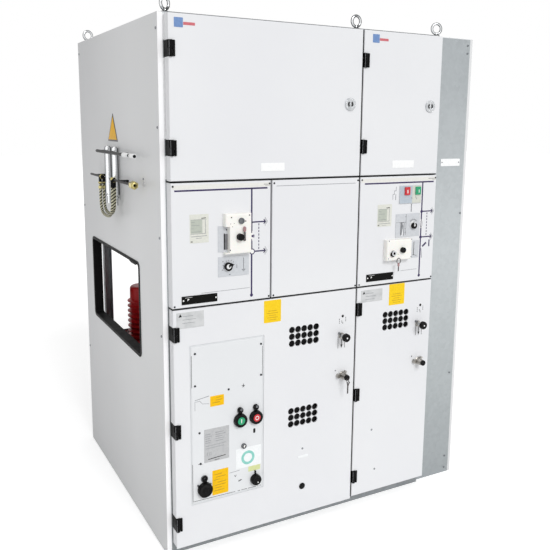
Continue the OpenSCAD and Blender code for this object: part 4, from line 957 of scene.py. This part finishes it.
# A painted flange round the front, just behind the door's sheet, closes the gap to the door
piece("breaker_front_flange", mask_paint, mask,
      *lines(14, (-5.2, -3.6), [(-7, -7), (284, -7), (284, 590), (-7, 590), (-7, -7)]),
      *lines(2.4, (-3.6, -0.8), [(-1, -1), (278, -1), (278, 584), (-1, 584), (-1, -1)]),
      (plate, 1, 401.5, 275, 9, 0.5, -1.6, 0.12, 0.05))
for name, material, *place in (
        ("breaker_label_small", label_yellow, 69.5, 354, 53, 39),
        ("breaker_label_large", label_yellow, 75.5, 13, 63, 96),
        ("breaker_data_label", grey_label, 45, 146, 97, 126),
        ("breaker_sticker", white_film, 169.5, 92, 103, 78),
        ("breaker_lime_label", lime_film, 219.5, 71, 49, 20)):
    piece(name, material, mask, (plate, *place, 2, -0.1, 0.35, 0.1))
piece("breaker_rules", ink_grey, mask,
      *[solid for k, w in enumerate((34, 40, 28, 36, 30)) for solid in
        lines(1.5, on_field, [(50, 252 - 8 * k), (50 + 0.6 * w, 252 - 8 * k)],
              [(88, 254 - 8 * k), (88 + w, 254 - 8 * k)])],
      *lines(1.1, on_field, [(50, 208), (130, 210)], [(52, 199), (122, 200)]),
      *lines(1.4, on_field, *[[(x, 184), (x, 172)] for x in (57, 64, 71)]),
      *lines(2.0, on_mask, [(12, 388), (66, 396)]),
      *lines(1.3, on_mask, [(66, 367), (40, 371), (30, 383), (12, 382), (12, 350)]),
      *lines(1.6, on_mask, [(143, 84), (184, 86)]))
dashes = ((2, 166), (176, 186), (191, 214), (218, 252), (256, 262), (266, 273))
# Among the marks, the earth sign and the spring sign stand by the upper edge; the fine black lines down
# the front's left and right edges are painted shadow of the gap round the front
piece("breaker_marks", ink_black, mask,
      *lines(1.7, on_mask, *[[(start, 7.5 - start / 110), (end, 7.5 - end / 110)]
                             for start, end in dashes]),
      *lines(1.2, (-0.1, 0.12), [(0.8, 8), (0.8, 150)], [(0.8, 436), (0.8, 552)],
             [(276.2, 436), (276.2, 548)]),
      *lines(2.6, on_field, [(60, 157), (128, 161)]), *lines(1.6, on_field, [(84, 150), (104, 151)]),
      *lines(1.8, on_mask, *[[(x - 4, z + 2), (x, z - 3), (x + 4, z + 3)]
                             for x, z in ((167, 68), (184, 46))], [(22, 146), (31, 148), (37, 143)]),
      *lines(2.6, on_mask, [(179, 43), (193, 47)]),
      *lines(2.2, on_mask, [(199, 418), (199, 406)], [(193, 411), (205, 411)]),
      *lines(1.6, on_mask, [(195, 406), (203, 406)]),
      (plate, 239, 219.5, 9, 18, 4.3, -0.1, 0.6))
large = ((83.5, 30), (89.5, 38), (81.5, 22), (95.5, 34), (84.5, 44), (87.5, 26), (82.5, 40))
small = ((93.5, 20), (91.5, 24), (77.5, 30))
piece("breaker_label_rules", label_print, mask,
      *lines(2.2, on_field, *[[(x, 92 - 10.5 * k), (x + w, 92.6 - 10.5 * k)]
                              for k, (x, w) in enumerate(large)]),
      *lines(2.0, on_field, *[[(x, 385 - 9 * k), (x + w, 385.6 - 9 * k)]
                              for k, (x, w) in enumerate(small)]))
piece("breaker_sticker_ring", turquoise, mask, *lines(10, on_field, arc(217.8, 129, 22, 0, 12, 31)))

# Padlock eyes, caps and rims: black moulded rings over the buttons, with dark nickel pins
dark_nickel = bright_metal("dark_nickel_fittings", "#77797c", 0.28, "#4b4d50")
half = size("on_button")[0] / 2
for node, x, cap, mark in (
        ("on_button", 185, green_cap,
         (plate, half - 1.5, half - 7.5, 3.0, 15, 0.8, -0.1, 0.25, 0.05)),
        ("off_button", 248, red_cap, *lines(2.6, on_sheet, arc(half, half, 6.2, 0, 15, 25, 6.8)))):
    coat(cap, node)
    piece(f"{node}_shroud", knob_black, mask,
          (turned, x, 283, [(25.2, -0.1), (25.2, 2.4), (24, 3.2)], 40),
          (turned, x, 321, [(10.6, -0.1), (10.6, 9.0), (9.4, 10.4), (5, 10.4), (5, 2)]),
          slot="black_plastic")
    piece(f"{node}_fittings", dark_nickel, mask,
          *[(turned, px, pz, [(3.2, -0.1), (3.2, 2.6), (2.4, 3.2)], 14)
            for px, pz in arc(x, 283, 24, 235, 35, 3)],
          (turned, x + 2, 325, [(5.4, 10.0), (5.4, 11.2), (4.4, 11.6)], 18))
    piece(f"{node}_mark", ink_white, on_front(node), mark, body=node)

# Charging socket: a dished cap with a lip, its eye pinned above
piece("charging_caps", knob_black, mask,
      (turned, 45, 47, [(25.6, 13.9), (25.6, 16.2), (24.4, 17.4), (21, 17.4), (18, 15.5),
                        (9, 15.0), (8, 16.4)], 48),
      (turned, 247, 37, [(19.2, 13.9), (19.2, 16.5), (18.2, 17.6), (13, 17.6), (11, 16)], 40),
      (plate, 244.5, 56, 5, 15, 2, -0.1, 6), slot="black_plastic")
piece("charging_eye", dark_nickel, mask,
      (turned, 43.5, 88, [(12.4, -0.1), (12.4, 3), (11.4, 4), (7.2, 4), (6.8, 1)]),
      (turned, 20.5, 66, [(3.5, -0.1), (3.5, 5), (2.6, 6)], 16),
      *lines(3.2, (-0.1, 4), [(20, 66), (22, 52)]),
      (turned, 22, 40, [(2.8, -0.1), (2.8, 3), (2, 3.6)], 14),
      (turned, 69, 62, [(3.2, -0.1), (3.2, 3), (2.2, 3.8)], 14))
piece("charging_index", ink_white, mask, (turned, 252, 29, [(2.2, 16), (2.2, 18)], 14))
# Key cylinder with a bright half-turned plug
piece("breaker_key_rim", dark_nickel, mask,
      (turned, 200, 179, [(9.6, -0.1), (9.6, 6.8), (8.8, 7.6), (6.6, 7.6), (6.2, 5.6)]),
      slot="chrome")
piece("breaker_key_plug", lock_black, mask, (turned, 200, 179, [(6.4, 5.0), (6.4, 6.4)], 24))
piece("breaker_key_bit", ink_white, mask,
      (cut, [(196.5, 177), (201, 173.5), (204.5, 182), (200, 185)], 6.0, 7.4))


# ---- Breaker poles ----
# Three vacuum interrupters, each cast into a pole of dark red epoxy whose ring-shaped sheds
# lengthen the path over its surface. Tinned copper bars leave it towards the contacts.
resin, tree, shader = finish("dark_red_cast_epoxy", "#b01a1e", 0.38, Specular_IOR_Level=0.3)
spot = add(tree, "ShaderNodeTexCoord").outputs["Object"]
flow = add(tree, "ShaderNodeTexNoise", {"Vector": spot, "Scale": 14.0, "Detail": 5.0})
colour_by(tree, shader, flow.outputs["Fac"], [(0.3, "#a81519"), (0.65, "#c21d22")])
skin = add(tree, "ShaderNodeTexNoise", {"Vector": spot, "Scale": 260.0, "Detail": 2.0})
bump(tree, shader, skin.outputs["Fac"], 0.00012)
coat(resin, "breaker_poles")
coat(bright_metal("tinned_copper", "#c9c5be", 0.33, "#a8a49c"), "pole_terminals")


# ---- Lower doors ----
# The doors of the breaker and of the cables: labels left plain, printed turning signs, vents of
# punched holes, and a black knob and a key lock on each.
silver_foil = bright_metal("silver_label_foil", "#c9cacb", 0.42, "#b8babb")
door_yellow = film("yellow_door_label", "#f8d21c", "#f0c812", 0.45, Specular_IOR_Level=0.25)
painted_shade_black = moulded("vent_baffle_painted_shade", "#0d0d0e", 0.7, 0.9, Specular_IOR_Level=0.2)
lock_nickel = bright_metal("worn_nickel_lock_bodies", "#bab7b2", 0.3, "#6f6c68")
# The knob's black grip is moulded on the front of a plated stem, which turns the latch inside
knob_on_stem = moulded("black_knob_on_plated_stem", "#070707", 0.42, 1.0, IOR=1.4,
                       Specular_IOR_Level=0.2)
grip_d = 0.0163
tree = knob_on_stem.node_tree
depth = add(tree, "ShaderNodeSeparateXYZ",
            {"Vector": add(tree, "ShaderNodeTexCoord").outputs["Object"]})
stem = add(tree, "ShaderNodeMath", {0: depth.outputs["Y"],
                                    1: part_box("door_knob_left")[0][1] + grip_d},
           operation="GREATER_THAN")
colour_by(tree, tree.nodes["Principled BSDF"], stem.outputs["Value"],
          [(0.0, "#070707"), (1.0, "#b4b6b8")])
# What differs between the doors: foil, yellow label, vents, key lock, signs and blanked fixings
door_fittings = {
    "left": ((12, 805, 100, 57), (344, 784, 70, 83), ((513.75, 398.5), (513.75, 717)), 688.5, 685,
             ((514, 263),)),
    "right": ((17, 811, 103, 49), (153, 785, 77, 86), ((190.25, 722.5),), 313.5, 315,
              ((89.7, 271), (110.7, 95)))}
for hand, (foil, label, vents, lock_x, sign_x, blanks) in door_fittings.items():
    node, knob = f"lower_door_{hand}", f"door_knob_{hand}"
    door = on_front(node)
    coat(knob_black, f"key_rotor_{hand}")
    coat(knob_on_stem, knob)
    coat(lock_nickel, f"lower_lock_{hand}")
    x, top = foil[0], foil[1] + foil[3]
    piece(f"{node}_foil", silver_foil, door, (plate, *foil, 1, -0.1, 0.25, 0.05), body=node)
    piece(f"{node}_foil_rules", ink_grey, door,
          *lines(1.4, (0.2, 0.4), *[[(x + 22, top - 14 - 12 * k), (x + 22 + w, top - 14 - 12 * k)]
                                    for k, w in enumerate((38.5, 49, 43.4))]), body=node)
    piece(f"{node}_foil_mark", ink_black, door,
          (cut, [(x + 8, top - 16), (x + 20, top - 15), (x + 14, top - 4)], 0.2, 0.4), body=node)
    x, z, w, h = label
    piece(f"{node}_yellow_label", door_yellow, door, (plate, *label, 3, -0.1, 0.35, 0.1),
          body=node)
    rules = [(z + h * (0.52 - 0.1 * k), share) for k, share in enumerate((0.5, 0.66, 0.4, 0.6, 0.46))]
    piece(f"{node}_label_rules", label_print, door,
          *lines(1.5, on_field, *[[(x + w * (0.5 - share / 2), up), (x + w * (0.5 + share / 2), up)]
                                  for up, share in rules]), body=node)
    # Dark perforated baffle behind the punched vents, on pads of the door's inner side; its black is
    # painted shade seen through the holes
    piece(f"{node}_vent_baffle", painted_shade_black, door,
          *[(plate, x - 74, z - 48, 148, 96, 4, -13, -11) for x, z in vents],
          *[(plate, x + dx, z - 30, 10, 60, 2, -11.2, -2) for x, z in vents for dx in (-71, 61)],
          body=node)
    # Dark rings round each punched hole: painted shade at the holes' edges
    piece(f"{node}_vent_rims_painted_shade", painted_shade_black, door,
          *lines(1.0, (-1.8, 0.12), *[arc(x + 26.2 * i, z + 26.2 * j, 12.1, 0, 12, 31)
                                      for x, z in vents for i in range(-2, 3) for j in (-1, 0, 1)]),
          body=node)
    # Key lock: a plated rose, a collar on the barrel, a dust cover turned aside and its screw
    x = lock_x
    piece(f"{node}_lock_rings", lock_nickel, door,
          (turned, x, 530.75, [(15.5, -0.1), (15.5, 2.4), (14, 3.6), (12.2, 3.6)], 32),
          (turned, x, 530.75, [(12.2, 14), (13.6, 14.6), (13.6, 18.4), (12.2, 19)], 32),
          (turned, x - 21, 532, [(8.4, -0.1), (8.4, 10.5), (7.2, 12), (4.6, 12), (4, 10)]),
          (turned, x + 4, 549.5, [(4.2, 10), (4.2, 22), (3.2, 23)], 18), body=node, slot="chrome")
    piece(f"{node}_lock_pins", dark_nickel, door,
          (turned, x - 32, 554, [(2.4, -0.1), (2.4, 1.2), (1.6, 1.8)], 14),
          (turned, x - 19, 703, [(4.4, -0.1), (4.4, 9), (3.2, 10)], 18), body=node)
    # The key, hung loose on a ring at the left lock's cap: it stays upright when the cap turns
    if hand == "left":
        key = [(x - 4, 516), (x - 1, 516), (x + 2, 505), (x + 8, 516), (x + 11, 514),
               (x + 4, 498), (x + 4, 470), (x - 1, 467), (x - 1, 498)]
        piece(f"{node}_key", key_steel, door, *lines(1.6, (38.4, 40), arc(x, 521, 6, 0, 20, 19, 7)),
              (cut, key, 38.6, 40.8), body=node)
    # Blanked fixings low on the door; the left door also has a longer foot and a cable plug
    piece(f"{node}_blanks", zinc_screw, door,
          *[(turned, x, z, [(4.2, -0.1), (4.2, 0.5), (2.8, 0.9)], 18) for x, z in blanks], body=node)
    if hand == "left":
        piece(f"{node}_plug", knob_black, door,
              (turned, 514.5, 107, [(12.8, -0.1), (12.8, 1.6), (11.4, 2.6), (4, 3.0)]), body=node)
        piece(f"{node}_pull", white_film, door,
              (plate, 493.5, 226.5, 45, 8.5, 3.8, -0.1, 1.8, 0.6), body=node)
        piece(f"{node}_foot", cover_paint, door,
              (plate, 0.6, -6.4, 742.2, 11, 0.8, -3.2, 0.06, 0.03), body=node)
    # A pale inlay in the knob's face
    piece(f"{knob}_inlay", dial_white, door,
          (turned, size(node)[0] - 64, 692.75, [(3.2, 43.8), (3.2, 44.4), (2.6, 44.7)], 20), body=knob)
    # Signs by the knob: where it points when shut and when open
    x = sign_x
    columns = ((x - 15, 760, 22), (x + 14, 764, 20), (x - 4, 752, 10), (x + 0.5, 746, 9))
    piece(f"{node}_signs", ink_black, door,
          (turned, x, 769, [(5.4, -0.1), (5.4, 0.3)], 18),
          *lines(2.4, on_sheet, *[[(at, z - length * k / 3), (at, z - length * (k + 0.6) / 3)]
                                  for at, z, length in columns for k in range(3)]),
          *lines(1.8, on_sheet, *[[(at, 690), (at, 642)] for at in (x - 19, x + 12)]),
          *lines(2.8, on_sheet, [(x - 3, 690), (x - 3, 655)]),
          (cut, [(x - 8, 656), (x + 2, 656), (x - 3, 642)], *on_sheet), body=node)
